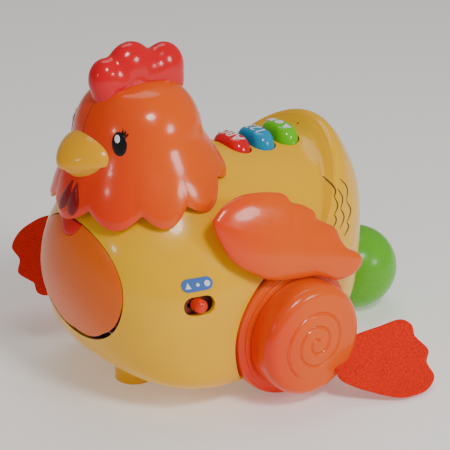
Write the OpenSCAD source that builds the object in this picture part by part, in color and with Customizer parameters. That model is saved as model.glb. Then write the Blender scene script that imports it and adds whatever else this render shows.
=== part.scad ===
// Battery-driven waddling hen that rolls play balls out at the back.
// The hen faces -Y, +X is its left side, +Z is up, and z = 0 is the floor.

/* [Body] */
// Length of the body shell, chest to tail
body_length = 225; // [190:1:270]
// Height of the back above the floor
body_height = 148; // [125:1:178]
// Width of the body shell at its widest
body_width = 160; // [146:1:194]
// Wall of the moulded shells
wall = 2.5; // [2:0.1:3.2]
// How round the body is across (small is boxy, 1 is a plain oval)
fullness = 0.68; // [0.6:0.01:0.8]

/* [Head] */
// Height of the crown above the floor
crown_z = 208; // [200:1:225]
// Depth of one scallop of the collar
scallop_depth = 9; // [4:0.5:12]
// Number of scallops on each side of the collar
scallops = 5; // [3:1:6]
// Thickness of the comb
comb_t = 16; // [10:1:20]
// Half width of the beak
beak_half_w = 23; // [18:1:26]

/* [Wheels and feet] */
// Radius of the drive wheels
wheel_r = 45; // [42:1:48]
// Width of a wheel's rolling flange
flange_w = 14; // [10:1:16]
// Radius of the spiral drum on each wheel
drum_r = 37.5; // [32:0.5:40]
// How far a drum stands out from its flange
drum_w = 21; // [16:1:26]
// Radius of the drive axle
axle_r = 2; // [1.5:0.25:2.5]
// Thickness of the felt feet
felt_t = 3; // [2:0.5:4]
// Turn of the right foot from the left one
foot_phase = 200; // [170:1:205]

/* [Ball] */
// Radius of a play ball
ball_r = 30; // [27:0.5:31]
// Wall of a play ball
ball_wall = 1.5; // [1:0.1:2]

/* [Controls] */
// Length of a back button, across the hen
button_l = 32; // [26:1:36]
// Width of a back button, along the hen
button_w = 17.5; // [14:0.5:18]
// Travel of a back button
button_travel = 2.5; // [1.5:0.1:3]
// Length of the mode switch slot
slot_l = 22; // [18:1:26]
// Radius of the mode knob
knob_r = 5.5; // [4:0.25:6]

/* [Fits] */
// Gap round a button, knob or door in its opening
trim_gap = 0.5; // [0.35:0.05:0.8]
// Radial clearance of a shaft in a bearing
run_gap = 0.05; // [0.02:0.01:0.1]

/* [Hidden] */
$fn = 48;

// Scales that carry every place on the body when its size changes
ky = body_length / 225;
kz = body_height / 148;
kx = body_width / 160;

// Outline of the body on its centre plane, (y, z), from the rump over the back to the chest
OUTLINE = [[88, 82], [87, 118], [78, 141], [63, 157], [46, 147], [24, 146], [-2, 148],
    [-43, 158], [-72, 160], [-101, 150], [-127, 127], [-137, 92], [-131, 56], [-116, 27],
    [-78, 12], [-27, 11], [18, 13], [57, 26], [82, 50]];
HEART = [-27, 82];     // middle of the outline
POLE = [-35, 52];      // where the side of the body stands furthest out
SIDE_STATIONS = [0, 13, 26, 39, 52, 64, 74, 83, 90];
RING_STEPS = 2 * len(OUTLINE);

// Bell of the hood, (z below the crown, radius)
BELL = [[0, 0], [1.6, 15], [4.5, 24.5], [9.5, 30.5], [16, 35.5], [25, 39.5], [36, 42], [47, 46],
    [59, 51], [71, 54.5], [83, 57.5]];
hood_y = -78 * ky;
hem_z = crown_z - 81;
hem_rise = 25;
hood_back = 9;

axle_y = -12 * ky;
axle_z = wheel_r;
well_x = 64 * kx;
wheel_gap = 2.2;
flange_x = well_x + wall + 1.5;
drum_x = flange_x + flange_w;
wheel_out_x = drum_x + drum_w;

button_ys = [-4, 16, 36];
spring_r = 3;
key_z = 128;

lamp_r = 11;
lamp_z = 126;
hinge_z = 56;
hinge_y = -121;
hinge_r = 1.25;
hinge_half = 38;
door_half_w = 46;
door_half_h = 39;
door_z = 86;
door_drop = 1.8;

switch_y = -83;
switch_z = 80;
switch_x = 78;
knob_travel = 4;
label_l = 24;
label_h = 9.5;

skid_y = -84;
skid_r = 13;

outlet_r = ball_r + 3;
outlet_z = 57;
ball_y = 108;

gear_m = 1;
final_teeth = 42;
idler_big = 36;
idler_small = 12;
pinion_teeth = 10;
gear_w = 5;
final_x = 40;
idler_dist = gear_m * (final_teeth + idler_small) / 2;
motor_dist = gear_m * (idler_big + pinion_teeth) / 2;
idler_y = axle_y - idler_dist;
idler_z = axle_z - 4;
motor_angle = 200;
motor_y = idler_y + motor_dist * cos(motor_angle);
motor_z = idler_z + motor_dist * sin(motor_angle);
motor_r = 10;

function sy(y) = y * ky;
function sz(z) = z * kz;
function mid(a, b, f) = a + (b - a) * f;

// Smooth closed curve through the points p, at position t
function curve(p, t) = let (n = len(p), i = floor(t), f = t - i,
    a = p[(i - 1 + n) % n], b = p[i % n], c = p[(i + 1) % n], d = p[(i + 2) % n])
    0.5 * (2 * b + (c - a) * f + (2 * a - 5 * b + 4 * c - d) * f * f
    + (3 * b - a - 3 * c + d) * f * f * f);

// Point of the body surface: t runs round the outline, side from 0 (centre plane) to 90
function body_pt(t, side, out) = let (s = sin(side), g = pow(max(cos(side), 0), fullness),
    c = mid(HEART, POLE, s * s), p = curve(OUTLINE, t) - HEART, r = norm(p))
    [(body_width / 2 + out) * s,
    sy(c[0] + p[0] * g * (1 + out / r)), sz(c[1] + p[1] * g * (1 + out / r))];

function ring(side, out) = [for (j = [0:RING_STEPS - 1])
    body_pt(j * len(OUTLINE) / RING_STEPS, side, out)];

// Faces between two rings of n points, starting at points a and b
function band(a, b, n) = [for (j = [0:n - 1]) let (k = (j + 1) % n)
    each [[a + j, b + j, b + k], [a + j, b + k, a + k]]];
function fan(a, pole, n) = [for (j = [0:n - 1]) [a + j, pole, a + (j + 1) % n]];
function flip(faces) = [for (f = faces) [f[2], f[1], f[0]]];

// Closed body, stood off its surface by out
module body_solid(out) {
    sides = [for (i = [len(SIDE_STATIONS) - 2:-1:1]) -SIDE_STATIONS[i],
        for (i = [0:len(SIDE_STATIONS) - 2]) SIDE_STATIONS[i]];
    m = len(sides);
    n = RING_STEPS;
    points = [for (s = sides) each ring(s, out), body_pt(0, -90, out), body_pt(0, 90, out)];
    faces = [for (i = [0:m - 2]) each band(i * n, (i + 1) * n, n),
        each fan((m - 1) * n, m * n + 1, n), each flip(fan(0, m * n, n))];
    polyhedron(points, faces, convexity = 6);
}

// Left half of the body as a wall of its own thickness
module half_shell() {
    sides = [for (i = [0:len(SIDE_STATIONS) - 2]) SIDE_STATIONS[i]];
    m = len(sides);
    n = RING_STEPS;
    inner = m * n + 1;
    points = [for (s = sides) each ring(s, 0), body_pt(0, 90, 0),
        for (s = sides) each ring(s, -wall), body_pt(0, 90, -wall)];
    faces = [for (i = [0:m - 2]) each band(i * n, (i + 1) * n, n),
        each fan((m - 1) * n, m * n, n),
        for (i = [0:m - 2]) each flip(band(inner + i * n, inner + (i + 1) * n, n)),
        each flip(fan(inner + (m - 1) * n, inner + m * n, n)),
        each flip(band(0, inner, n))];
    polyhedron(points, faces, convexity = 8);
}

module oval(l, w) {
    circle_r = w / 2;
    for (s = [-1, 1]) translate([s * (l / 2 - circle_r), 0]) circle(circle_r);
    square([l - w, w], center = true);
}

module rod_x(x0, x1, r) translate([x0, 0, 0]) rotate([0, 90, 0]) cylinder(r = r, h = x1 - x0);
module rod_y(y0, y1, r) translate([0, y1, 0]) rotate([90, 0, 0]) cylinder(r = r, h = y1 - y0);
module tube_x(x0, x1, r, bore) difference() {
    rod_x(x0, x1, r);
    rod_x(x0 - 1, x1 + 1, bore);
}
module block(lo, hi) translate(lo) cube(hi - lo);

// ---- Openings in the body shell ----

// Egg outline of the chest door, (x, z); lobes cut its lower edge into scallops
lobe_h = 3;
function door_edge(a, grow, lobes) = let (c = cos(a), s = sin(a),
    lobe = s < -0.35 ? lobes * (abs(sin(4.5 * (a - 270))) - 1) : 0)
    [(door_half_w + grow) * c * (1 - 0.06 * s), sz(door_z) + (sz(door_half_h) + grow + lobe) * s];

module door_prism(grow, lobes) translate([0, sy(-60), 0]) rotate([90, 0, 0]) linear_extrude(90)
    polygon([for (a = [0:5:355]) door_edge(a, grow, lobes)]);

module lamp_prism(grow) {
    translate([0, sy(-90), sz(lamp_z)]) rotate([90, 0, 0])
        linear_extrude(70) intersection() {
            circle(lamp_r + grow);
            translate([-lamp_r - 2, -lamp_r - 2]) square([2 * lamp_r + 4, lamp_r + 5]);
        }
}

module button_hole(y, grow, z0, z1) {
    translate([0, sy(y), z0]) linear_extrude(z1 - z0)
        oval(button_l + 2 * grow, button_w + 2 * grow);
}

module switch_hole(x0, x1, grow) {
    translate([x0, sy(switch_y), sz(switch_z)]) rotate([90, 0, 90])
        linear_extrude(x1 - x0) oval(slot_l + 2 * grow, 2 * knob_r + 2 + 2 * grow);
}

module well_cut(x0, grow) translate([0, axle_y, axle_z])
    rod_x(x0, body_width, wheel_r + wheel_gap + grow);

module outlet_cut() translate([0, 0, sz(outlet_z)]) rod_y(sy(46), sy(120), outlet_r);

battery_lo = [-54, -73, 0];
battery_hi = [14, -29, 0];
cover_z = 14;

module battery_cut(grow) block([battery_lo[0] - grow, sy(battery_lo[1]) - grow, 0],
    [battery_hi[0] + grow, sy(battery_hi[1]) + grow, cover_z + 14]);

// Shell of the left side without its mirror-only features
module body_half(side) {
    difference() {
        union() {
            difference() {
                half_shell();
                well_cut(well_x + wall, 0);
            }
            intersection() {
                translate([0, axle_y, axle_z]) difference() {
                    rod_x(well_x, body_width, wheel_r + wheel_gap + wall);
                    rod_x(well_x + wall, body_width + 1, wheel_r + wheel_gap);
                }
                body_solid(-wall / 2);
            }
            inner_parts(side);
            hinge_lug();
        }
        door_prism(trim_gap, 0);
        translate([0, 0, -door_drop]) door_prism(trim_gap, 0);
        for (y = button_ys) button_hole(y, trim_gap, sz(139), body_height + 40);
        outlet_cut();
        translate([0, sy(skid_y), 0]) cylinder(r = skid_r - 4, h = sz(30));
        translate([0, sy(skid_y), 0]) cylinder(r = skid_r, h = sz(11));
        mirror([side < 0 ? 1 : 0, 0, 0]) battery_cut(trim_gap);
        translate([0, axle_y, axle_z]) rod_x(well_x - 1, well_x + wall + 1, bush_r);
        translate([0, sy(wing_pin_y), sz(wing_pin_z)]) rod_x(0, body_width, wing_pin_r + run_gap);
        if (side > 0) switch_hole(body_width / 2 - 20, body_width / 2 + 10, 0);
        for (p = SCREW_POSTS) translate([0, sy(p[0]), sz(p[1])]) {
            rod_x(-1, post_l + 1, screw_r);
            if (side < 0) rod_x(post_l, body_width, screw_head_r + 0.6);
        }
    }
}

// Screw posts that pull the halves together, (y, z)
SCREW_POSTS = [[70, 143], [-113, 31], [-72, 154], [6, 16.5]];
post_l = 18;
post_r = 4;
screw_r = 1.5;
screw_head_r = 2.75;

module boss_posts() for (p = SCREW_POSTS) translate([0, sy(p[0]), sz(p[1])])
    rod_x(0, post_l, post_r);

// Ribs from the wall that carry the chute, the key board, the circuit board and the gearbox
module inner_parts(side) intersection() {
    union() {
        boss_posts();
        for (p = [[-98, body_width], [30, well_x + wall]])
            block([chute_w / 2 + 2, sy(p[0]) - 2, chute_z(p[0])],
                [p[1], sy(p[0]) + 2, chute_z(p[0]) + 10]);
        for (y = [-12, 44]) block([18, sy(y) - 3, spring_low - 4.6],
            [body_width, sy(y) + 3, spring_low - 1.6]);
        if (side > 0) block([box_hi_x + box_t, motor_y - 2, motor_z - 5],
            [well_x + wall, motor_y + 2, motor_z + 5]);
        if (side > 0) block([switch_x - 18, sy(switch_y) + 12, sz(switch_z) - 4],
            [body_width, sy(switch_y) + 14, sz(switch_z) + 4]);
        if (side < 0) block([board_x + board_t, sy(-62), 84], [body_width, sy(-62) + 3, 104]);
        if (side < 0) block([speaker_x, sy(-80) - 4, speaker_z - 4],
            [body_width, sy(-80) + 4, speaker_z + 4]);
    }
    body_solid(-wall / 2);
}

// Lug that holds the end of the door's hinge pin
lug_x = 34.5;
module hinge_lug() intersection() {
    difference() {
        block([lug_x, sy(-135), sz(hinge_z) - 4], [lug_x + 4, sy(hinge_y) + 3, sz(hinge_z) + 4]);
        translate([0, sy(hinge_y), sz(hinge_z)]) rod_x(0, body_width, hinge_r);
    }
    body_solid(-wall / 2);
}

module body_shell_left() color("gold") body_half(1);
module body_shell_right() color("gold") mirror([1, 0, 0]) body_half(-1);

module case_screws() color("silver") mirror([1, 0, 0]) for (p = SCREW_POSTS)
    translate([0, sy(p[0]), sz(p[1])]) {
        rod_x(4 - post_l, post_l, screw_r);
        rod_x(post_l, post_l + 2, screw_head_r);
    }

// ---- Hood, comb, beak, wattles and eyes ----

function bell_r(d, i = 0) = i >= len(BELL) - 2 || d <= BELL[i + 1][0]
    ? mid(BELL[i][1], BELL[i + 1][1], (d - BELL[i][0]) / (BELL[i + 1][0] - BELL[i][0]))
    : bell_r(d, i + 1);
function behind(a) = (1 - cos(a)) / 2;
function hem(a) = hem_z + hem_rise * pow(behind(a), 3.2)
    + scallop_depth * (1 - abs(cos(a * scallops)));

// Point of the hood: a is 0 at the beak and 180 at the nape, s from 0 (crown) to 1 (hem)
function hood_pt(a, s, in) = let (d = pow(s, 1.6) * (crown_z - hem(a)) + in * (1 - s),
    r = bell_r(pow(s, 1.6) * (crown_z - hem(a)))
    + hood_back * behind(a) * behind(a) * min(1, max(0, (d - 35) / 48)) - in * min(1, 3 * s))
    [max(r, 0) * sin(a), hood_y - max(r, 0) * cos(a), crown_z - d];

HOOD_AROUND = 30;
HOOD_DOWN = 10;

module hood_half() {
    n = HOOD_AROUND + 1;
    m = HOOD_DOWN;
    grid = [for (in = [0, wall]) each [for (i = [1:m]) each [for (j = [0:HOOD_AROUND])
        hood_pt(180 * j / HOOD_AROUND, i / m, in)]]];
    crown = [[0, hood_y, crown_z], [0, hood_y, crown_z - wall]];
    inner = m * n;
    function cell(a, b, c, d) = [[a, b, c], [a, c, d]];
    outer_faces = [for (i = [0:m - 2], j = [0:n - 2]) each cell(i * n + j, i * n + j + 1,
        (i + 1) * n + j + 1, (i + 1) * n + j)];
    cap = [for (j = [0:n - 2]) [2 * inner, j + 1, j]];
    faces = [each outer_faces, each cap,
        for (f = outer_faces) [f[2] + inner, f[1] + inner, f[0] + inner],
        for (j = [0:n - 2]) [2 * inner + 1, inner + j, inner + j + 1],
        for (j = [0:n - 2]) each cell((m - 1) * n + j, (m - 1) * n + j + 1,
            inner + (m - 1) * n + j + 1, inner + (m - 1) * n + j),
        for (i = [0:m - 2]) each cell(i * n, (i + 1) * n, inner + (i + 1) * n, inner + i * n),
        for (i = [0:m - 2]) each cell((i + 1) * n + n - 1, i * n + n - 1,
            inner + i * n + n - 1, inner + (i + 1) * n + n - 1),
        each cell(2 * inner, 0, inner, 2 * inner + 1),
        each cell(n - 1, 2 * inner, 2 * inner + 1, inner + n - 1)];
    polyhedron([each grid, each crown], [for (f = faces) [f[2], f[1], f[0]]], convexity = 8);
}

// Solid inside the hood's outer face, that the wattles rest on
module hood_core(in) translate([0, hood_y, 0]) rotate_extrude($fn = 96) polygon([[0, 60],
    [BELL[len(BELL) - 1][1] - in, 60],
    for (i = [len(BELL) - 1:-1:1]) [BELL[i][1] - in, crown_z - BELL[i][0] - in / 2],
    [0, crown_z - in / 2]]);

module hood_shell() difference() {
    hood_half();
    body_solid(0.4);
    comb_blank(0.1, 0);
    beak_blank(0.1);
    for (s = [-1, 1]) eye_blank(s, 0.1);
}

module hood_shell_left() color("coral") hood_shell();
module hood_shell_right() color("coral") mirror([1, 0, 0]) hood_shell();

// Lobes of the comb, (y from the head axis, z below the crown, radius)
LOBES = [[-27, -10, 9.5], [-8, -13, 14], [16, -9, 14]];
comb_seat = 13;

module comb_blank(grow, drop) translate([-comb_t / 2 - grow, hood_y, crown_z])
    rotate([90, 0, 90]) linear_extrude(comb_t + 2 * grow) {
        for (l = LOBES) translate([l[0], -l[1]]) circle(l[2] + grow);
        polygon([[LOBES[0][0] - LOBES[0][2] - grow, -LOBES[0][1]],
            [LOBES[0][0] - 4 - grow, -comb_seat - grow],
            [LOBES[2][0] + 10 + grow, -comb_seat - grow],
            [LOBES[2][0] + LOBES[2][2] + grow, -LOBES[2][1]]]);
    }

module comb() color("crimson") comb_blank(0, 0);

beak_y = hood_y - 36;
beak_z = crown_z - 42;
beak_half_l = 24;
beak_half_h = 15.5;
mouth_drop = 3;

function ball_point(r, u, v) = [r[0] * cos(v) * cos(u), r[1] * cos(v) * sin(u), r[2] * sin(v)];
module ellipsoid(r, around = 24, rows = 12) {
    points = [[0, 0, -r[2]], for (i = [1:rows - 1]) each [for (j = [0:around - 1])
        ball_point(r, 360 * j / around, -90 + 180 * i / rows)], [0, 0, r[2]]];
    last = len(points) - 1;
    polyhedron(points, [for (i = [0:rows - 3]) each flip(band(1 + (i + 1) * around,
        1 + i * around, around)),
        for (j = [0:around - 1]) [0, 1 + j, 1 + (j + 1) % around],
        for (j = [0:around - 1]) [last, last - around + (j + 1) % around, last - around + j]]);
}

module beak_blank(grow) translate([0, beak_y, beak_z])
    ellipsoid([beak_half_w + grow, beak_half_l + grow, beak_half_h + grow]);

module beak_part() difference() {
    beak_blank(0);
    block([-40, hood_y - 28, 100], [40, hood_y + 40, 240]);
}
module beak_upper() color("gold") difference() {
    beak_part();
    block([-40, hood_y - 80, 100], [40, hood_y, beak_z - mouth_drop]);
}
module beak_lower() color("gold") difference() {
    beak_part();
    block([-40, hood_y - 80, beak_z - mouth_drop], [40, hood_y, 240]);
}

wattle_r = [5.3, 4, 11];
wattle_z = hem_z + 15.5;
module wattles() color("darkred") difference() {
    for (s = [-1, 1]) translate([s * 7, hood_y - 55.5, wattle_z]) rotate([8, s * 10, 0])
        ellipsoid(wattle_r, 14, 8);
    hood_core(-0.02);
}

eye_angle = 40;
eye_z = crown_z - 30;
eye_r = [5.3, 2.2, 8];
module eye_blank(s, grow) translate([0, hood_y, eye_z]) rotate([0, 0, s * eye_angle])
    translate([0, -40.5, 0]) rotate([-8, 0, 0])
        ellipsoid([eye_r[0] + grow, eye_r[1] + grow, eye_r[2] + grow], 14, 8);
module eyes() color("black") for (s = [-1, 1]) eye_blank(s, 0);

// ---- Chest door and lamp ----

module body_wall() for (s = [0, 1]) mirror([s, 0, 0]) half_shell();

module chest_door() color("darkorange") difference() {
    union() {
        intersection() {
            body_wall();
            door_prism(0, lobe_h);
        }
        for (s = [-1, 1]) translate([s * 22, sy(hinge_y), sz(hinge_z)]) {
            rod_x(-3, 3, hinge_r + 1.75);
            block([-3, sy(-127.6) - sy(hinge_y), -hinge_r - 1.75], [3, 0, 1]);
        }
    }
    translate([0, sy(hinge_y), sz(hinge_z)]) rod_x(-body_width, body_width, hinge_r + run_gap);
    lamp_prism(0.1);
}

module door_hinge_pin() color("silver") translate([0, sy(hinge_y), sz(hinge_z)])
    rod_x(-hinge_half, hinge_half, hinge_r);

module chest_lamp_lens() color("red") intersection() {
    body_wall();
    lamp_prism(0);
    door_prism(0, lobe_h);
}

module chest_led() color("white") translate([0, sy(-128) + wall + 3.6, sz(lamp_z) - 1])
    rod_y(0, 8, 2.5);

// ---- Wings ----

wing_pin_y = -44;
wing_pin_z = 118;
wing_pin_r = 3;
wing_lean = 0.25;
wing_ref_x = 74;
wing_ref_z = 130;
wing_crown = 6.4;
WING = [[-72, 131], [-69, 136], [-61, 141], [-48, 144], [-35, 143], [-25, 141], [-16, 138],
    [-11, 132], [-2, 128], [5, 123], [8, 117], [20, 109], [24, 100], [28, 94], [36, 89],
    [39, 83], [32, 77], [19, 75.5], [9, 79], [-1, 82.8], [-14, 84.4], [-27, 86.4], [-39, 90], [-53, 99], [-62, 107], [-68, 118]];
WING_MID = [-24, 110];

function wing_plane(z) = wing_ref_x + (wing_ref_z - z) * wing_lean;
function wing_pt(p, f, side) = let (q = mid(WING_MID, p, f), h = sqrt(max(0, 1 - pow(f, 2.6))))
    [kx * wing_plane(q[1]) + (side > 0 ? wing_crown * h : -1 - 0.2 * h), sy(q[0]), sz(q[1])];

module wing_blank() {
    n = len(WING);
    rings = [for (f = [0.35, 0.6, 0.8, 0.92, 1]) f];
    m = len(rings);
    outer = [for (f = rings) each [for (p = WING) wing_pt(p, f, 1)]];
    inner = [for (f = rings) each [for (p = WING) wing_pt(p, f, -1)]];
    base = m * n;
    faces = [for (i = [0:m - 2]) each band(i * n, (i + 1) * n, n),
        each flip(fan(0, 2 * base, n)),
        for (i = [0:m - 2]) each flip(band(base + i * n, base + (i + 1) * n, n)),
        each fan(base, 2 * base + 1, n),
        each band((m - 1) * n, base + (m - 1) * n, n)];
    polyhedron([each outer, each inner, wing_pt(WING_MID, 0, 1), wing_pt(WING_MID, 0, -1)],
        faces, convexity = 6);
}

wing_boss_x = 40 * kx;
module wing() difference() {
    union() {
        wing_blank();
        translate([0, sy(wing_pin_y), sz(wing_pin_z)])
            rod_x(wing_boss_x, kx * wing_plane(wing_pin_z) + 1, wing_pin_r);
    }
    translate([0, sy(wing_pin_y), sz(wing_pin_z)]) rod_x(0, wing_boss_x + 12, 1);
}
module wing_left() color("darkorange") wing();
module wing_right() color("darkorange") mirror([1, 0, 0]) wing();
module wing_screw() translate([0, sy(wing_pin_y), sz(wing_pin_z)]) {
    rod_x(wing_boss_x, wing_boss_x + 11, 1);
    rod_x(wing_boss_x - 1.6, wing_boss_x, 5);
}
module wing_screw_left() color("silver") wing_screw();
module wing_screw_right() color("silver") mirror([1, 0, 0]) wing_screw();

// ---- Axle, wheels, drums and feet ----

bush_r = 5;
bush_flange_r = 8;
module drive_axle() color("silver") translate([0, axle_y, axle_z])
    rod_x(-wheel_out_x + 6, wheel_out_x - 6, axle_r);

module axle_bushes() color("ivory") for (s = [0, 1]) mirror([s, 0, 0])
    translate([0, axle_y, axle_z]) difference() {
        union() {
            rod_x(well_x - 3, well_x + wall, bush_r);
            rod_x(well_x - 3, well_x, bush_flange_r);
        }
        rod_x(well_x - 10, well_x + 10, axle_r + run_gap);
    }

module wheel() translate([0, axle_y, axle_z]) difference() {
    union() {
        tube_x(flange_x, drum_x, wheel_r, wheel_r - 4);
        rod_x(drum_x - 3, drum_x, wheel_r - 1);
        rod_x(flange_x, drum_x, 7);
        for (a = [0:60:300]) rotate([a, 0, 0]) block([drum_x - 9, 6, -1], [drum_x - 2, wheel_r - 2, 1]);
    }
    rod_x(0, body_width, axle_r);
}
module wheel_left() color("orangered") wheel();
module wheel_right() color("orangered") mirror([1, 0, 0]) wheel();

// Outline of a drum's wall and domed face, (radius, distance from the flange)
drum_edge = 7;
groove_r = 1.1;
groove_step = 7;
module drum() translate([drum_x, axle_y, axle_z]) rotate([0, 90, 0]) difference() {
    rotate_extrude($fn = 96) difference() {
        polygon([[0, 0], [drum_r, 0], [drum_r, drum_w - drum_edge],
            for (a = [15:15:75]) [drum_r - drum_edge * (1 - cos(a)),
                drum_w - drum_edge * (1 - sin(a))],
            [drum_r - drum_edge, drum_w], [0, drum_w + 2]]);
        polygon([[5, -1], [drum_r - wall, -1], [drum_r - wall, drum_w - drum_edge],
            [drum_r - drum_edge, drum_w - wall], [5, drum_w - wall]]);
        for (i = [1:3]) translate([i * groove_step, drum_w + 2 - i * groove_step
            * 2 / (drum_r - drum_edge) + 0.2]) circle(groove_r, $fn = 16);
    }
    translate([0, 0, -1]) cylinder(r = axle_r, h = drum_w - 5);
}
module drum_left() color("darkorange") drum();
module drum_right() color("darkorange") mirror([1, 0, 0]) drum();

// Plan of the left foot, (x beyond the flange, y behind the axle), and its curl
foot_in = 8.5;
foot_w = 54;
curl = 30.5;
TOES = [[10, 26], [8.6, 44], [8.5, 64], [8.6, 82], [13, 89], [18.5, 87], [21, 88], [28.5, 91],
    [35, 84], [45, 82], [52, 70], [53, 58], [50.5, 47], [40, 31], [33, 21], [26, 15], [14, 18]];
foot_floor = 1.5;
function curl_z(x) = foot_floor + curl * pow(max(0, (foot_w - x) / (foot_w - foot_in)), 1.5);

module foot_blank() intersection() {
    translate([drum_x, axle_y, -10]) linear_extrude(80)
        polygon([for (t = [0:0.5:len(TOES) - 0.5]) curve(TOES, t)]);
    translate([drum_x, axle_y + 100, 0]) rotate([90, 0, 0]) linear_extrude(100)
        polygon([for (x = [0:4:foot_w]) [x, curl_z(x)], [foot_w, curl_z(foot_w)],
            [foot_w, curl_z(foot_w) + felt_t],
            for (x = [foot_w - 2:-4:0]) [x, curl_z(x) + felt_t]]);
}
module foot() difference() {
    foot_blank();
    translate([0, axle_y, axle_z]) rod_x(0, wheel_out_x + 2.1, drum_r + 0.02);
}
module foot_left() color("tomato") foot();
module foot_right() color("tomato") mirror([1, 0, 0]) translate([0, axle_y, axle_z])
    rotate([foot_phase, 0, 0]) translate([0, -axle_y, -axle_z]) foot();

// ---- Gearbox and motor ----

module gear(teeth, width, bore) {
    r = gear_m * teeth / 2;
    rod_gear_r = r - 1.25 * gear_m;
    rotate([0, 90, 0]) linear_extrude(width) difference() {
        union() {
            circle(rod_gear_r, $fn = max(24, 2 * teeth));
            for (i = [0:teeth - 1]) rotate(360 * i / teeth) polygon([
                [rod_gear_r - 0.4, -0.95 * gear_m], [rod_gear_r - 0.4, 0.95 * gear_m],
                [r, 0.62 * gear_m], [r + 0.85 * gear_m, 0.28 * gear_m],
                [r + 0.85 * gear_m, -0.28 * gear_m], [r, -0.62 * gear_m]]);
        }
        circle(bore);
    }
}

idler_dir = atan2(idler_z - axle_z, idler_y - axle_y);
module final_gear() color("ivory") translate([final_x, axle_y, axle_z])
    rotate([idler_dir - 90, 0, 0]) {
        gear(final_teeth, gear_w, axle_r);
        tube_x(-1.5, gear_w, 5, axle_r);
    }

module idler_gear() color("ivory") translate([0, idler_y, idler_z]) {
    translate([final_x, 0, 0]) rotate([idler_dir + 180 - 90 + 180 / idler_small, 0, 0])
        gear(idler_small, gear_w + 1.6, 1 + run_gap);
    translate([final_x + gear_w + 1.5, 0, 0]) rotate([motor_angle - 90, 0, 0])
        gear(idler_big, gear_w, 1 + run_gap);
}

module idler_shaft() color("silver") translate([0, idler_y, idler_z])
    rod_x(box_lo_x + 0.2, box_hi_x - 0.2, 1);

module motor_pinion() color("goldenrod") translate([final_x + gear_w + 1, motor_y, motor_z])
    rotate([motor_angle + 180 - 90 + 180 / pinion_teeth, 0, 0]) {
        gear(pinion_teeth, gear_w + 1, 1 + run_gap);
        tube_x(-1, gear_w + 1, 3, 1 + run_gap);
    }

box_lo_x = final_x - 3;
box_hi_x = final_x + 2 * gear_w + 5;
box_t = 2;
module gearbox_plate(x0, x1) difference() {
    union() {
        translate([0, axle_y, axle_z]) rod_x(x0, x1, 9);
        translate([0, idler_y, idler_z]) rod_x(x0, x1, 7);
        translate([0, motor_y, motor_z]) rod_x(x0, x1, motor_r + 2);
        block([x0, motor_y, idler_z - 6], [x1, axle_y, idler_z + 6]);
    }
    translate([0, axle_y, axle_z]) rod_x(x0 - 1, x1 + 1, axle_r + run_gap);
    translate([0, idler_y, idler_z]) rod_x(x0 - 1, x1 + 1, 1);
    translate([0, motor_y, motor_z]) rod_x(x0 - 1, x1 + 1, 3.2);
}
module gearbox_left() color("dimgray") {
    gearbox_plate(box_hi_x, box_hi_x + box_t);
    translate([0, motor_y - motor_r, motor_z]) rod_x(box_lo_x, box_hi_x + box_t, 1.8);
    translate([0, motor_y, motor_z - motor_r]) rod_x(box_lo_x, box_hi_x + box_t, 1.8);
}
module gearbox_right() color("dimgray") gearbox_plate(box_lo_x - box_t, box_lo_x);

module motor() color("silver") translate([0, motor_y, motor_z]) {
    rod_x(box_lo_x - box_t - 25, box_lo_x - box_t, motor_r);
    rod_x(box_lo_x - box_t, box_lo_x, 3);
    rod_x(box_lo_x, box_hi_x - 1, 1);
}

// ---- Batteries ----

cell_r = 7.25;
cell_l = 50.5;
cell_z = cover_z + 12;
cell_ys = [-66, -51, -36];
function cell_y(i) = sy(-51) + (i - 1) * (2 * cell_r + 0.5);
box_y0 = cell_y(0) - cell_r - 1;
box_y1 = cell_y(2) + cell_r + 1;
cell_x0 = -51;
module battery_box() color("khaki") difference() {
    intersection() {
        union() {
            block([cell_x0 - 6.5, box_y0 - wall, 0], [cell_x0 + cell_l + 6.5, box_y1 + wall,
                cell_z + cell_r + 1 + wall]);
            translate([cover_screw_x, sy(-51), 0]) cylinder(r = screw_r + 2.5, h = cell_z - 4);
        }
        body_solid(-wall - 0.02);
    }
    translate([cover_screw_x, sy(-51), 0]) cylinder(r = screw_r, h = screw_seat_z + 7);
    translate([0, sy(skid_y), 0]) cylinder(r = skid_r - 3.7, h = sz(18) + 0.3);
    block([cell_x0 - 4, box_y0, -1], [cell_x0 + cell_l + 4, box_y1, cell_z + cell_r + 1]);
}
module cells() color("seagreen") for (i = [0:2]) translate([0, cell_y(i), cell_z]) {
    rod_x(cell_x0 + 1, cell_x0 + cell_l - 1, cell_r);
    rod_x(i == 1 ? cell_x0 : cell_x0 + cell_l - 2, i == 1 ? cell_x0 + 2 : cell_x0 + cell_l, 2.7);
}
module contact_springs() color("silver") for (i = [0:2]) translate([0, cell_y(i), cell_z])
    if (i == 1) tube_x(cell_x0 + cell_l - 1, cell_x0 + cell_l + 3, 3.5, 2.7);
    else tube_x(cell_x0 - 3, cell_x0 + 1, 3.5, 2.7);
module contact_plates() color("silver") {
    for (i = [0:2]) translate([0, cell_y(i), cell_z]) {
        block([cell_x0 - 4, -5, -5], [cell_x0 - 3, 5, 5]);
        block([cell_x0 + cell_l + 3, -5, -5], [cell_x0 + cell_l + 4, 5, 5]);
    }
}

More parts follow.
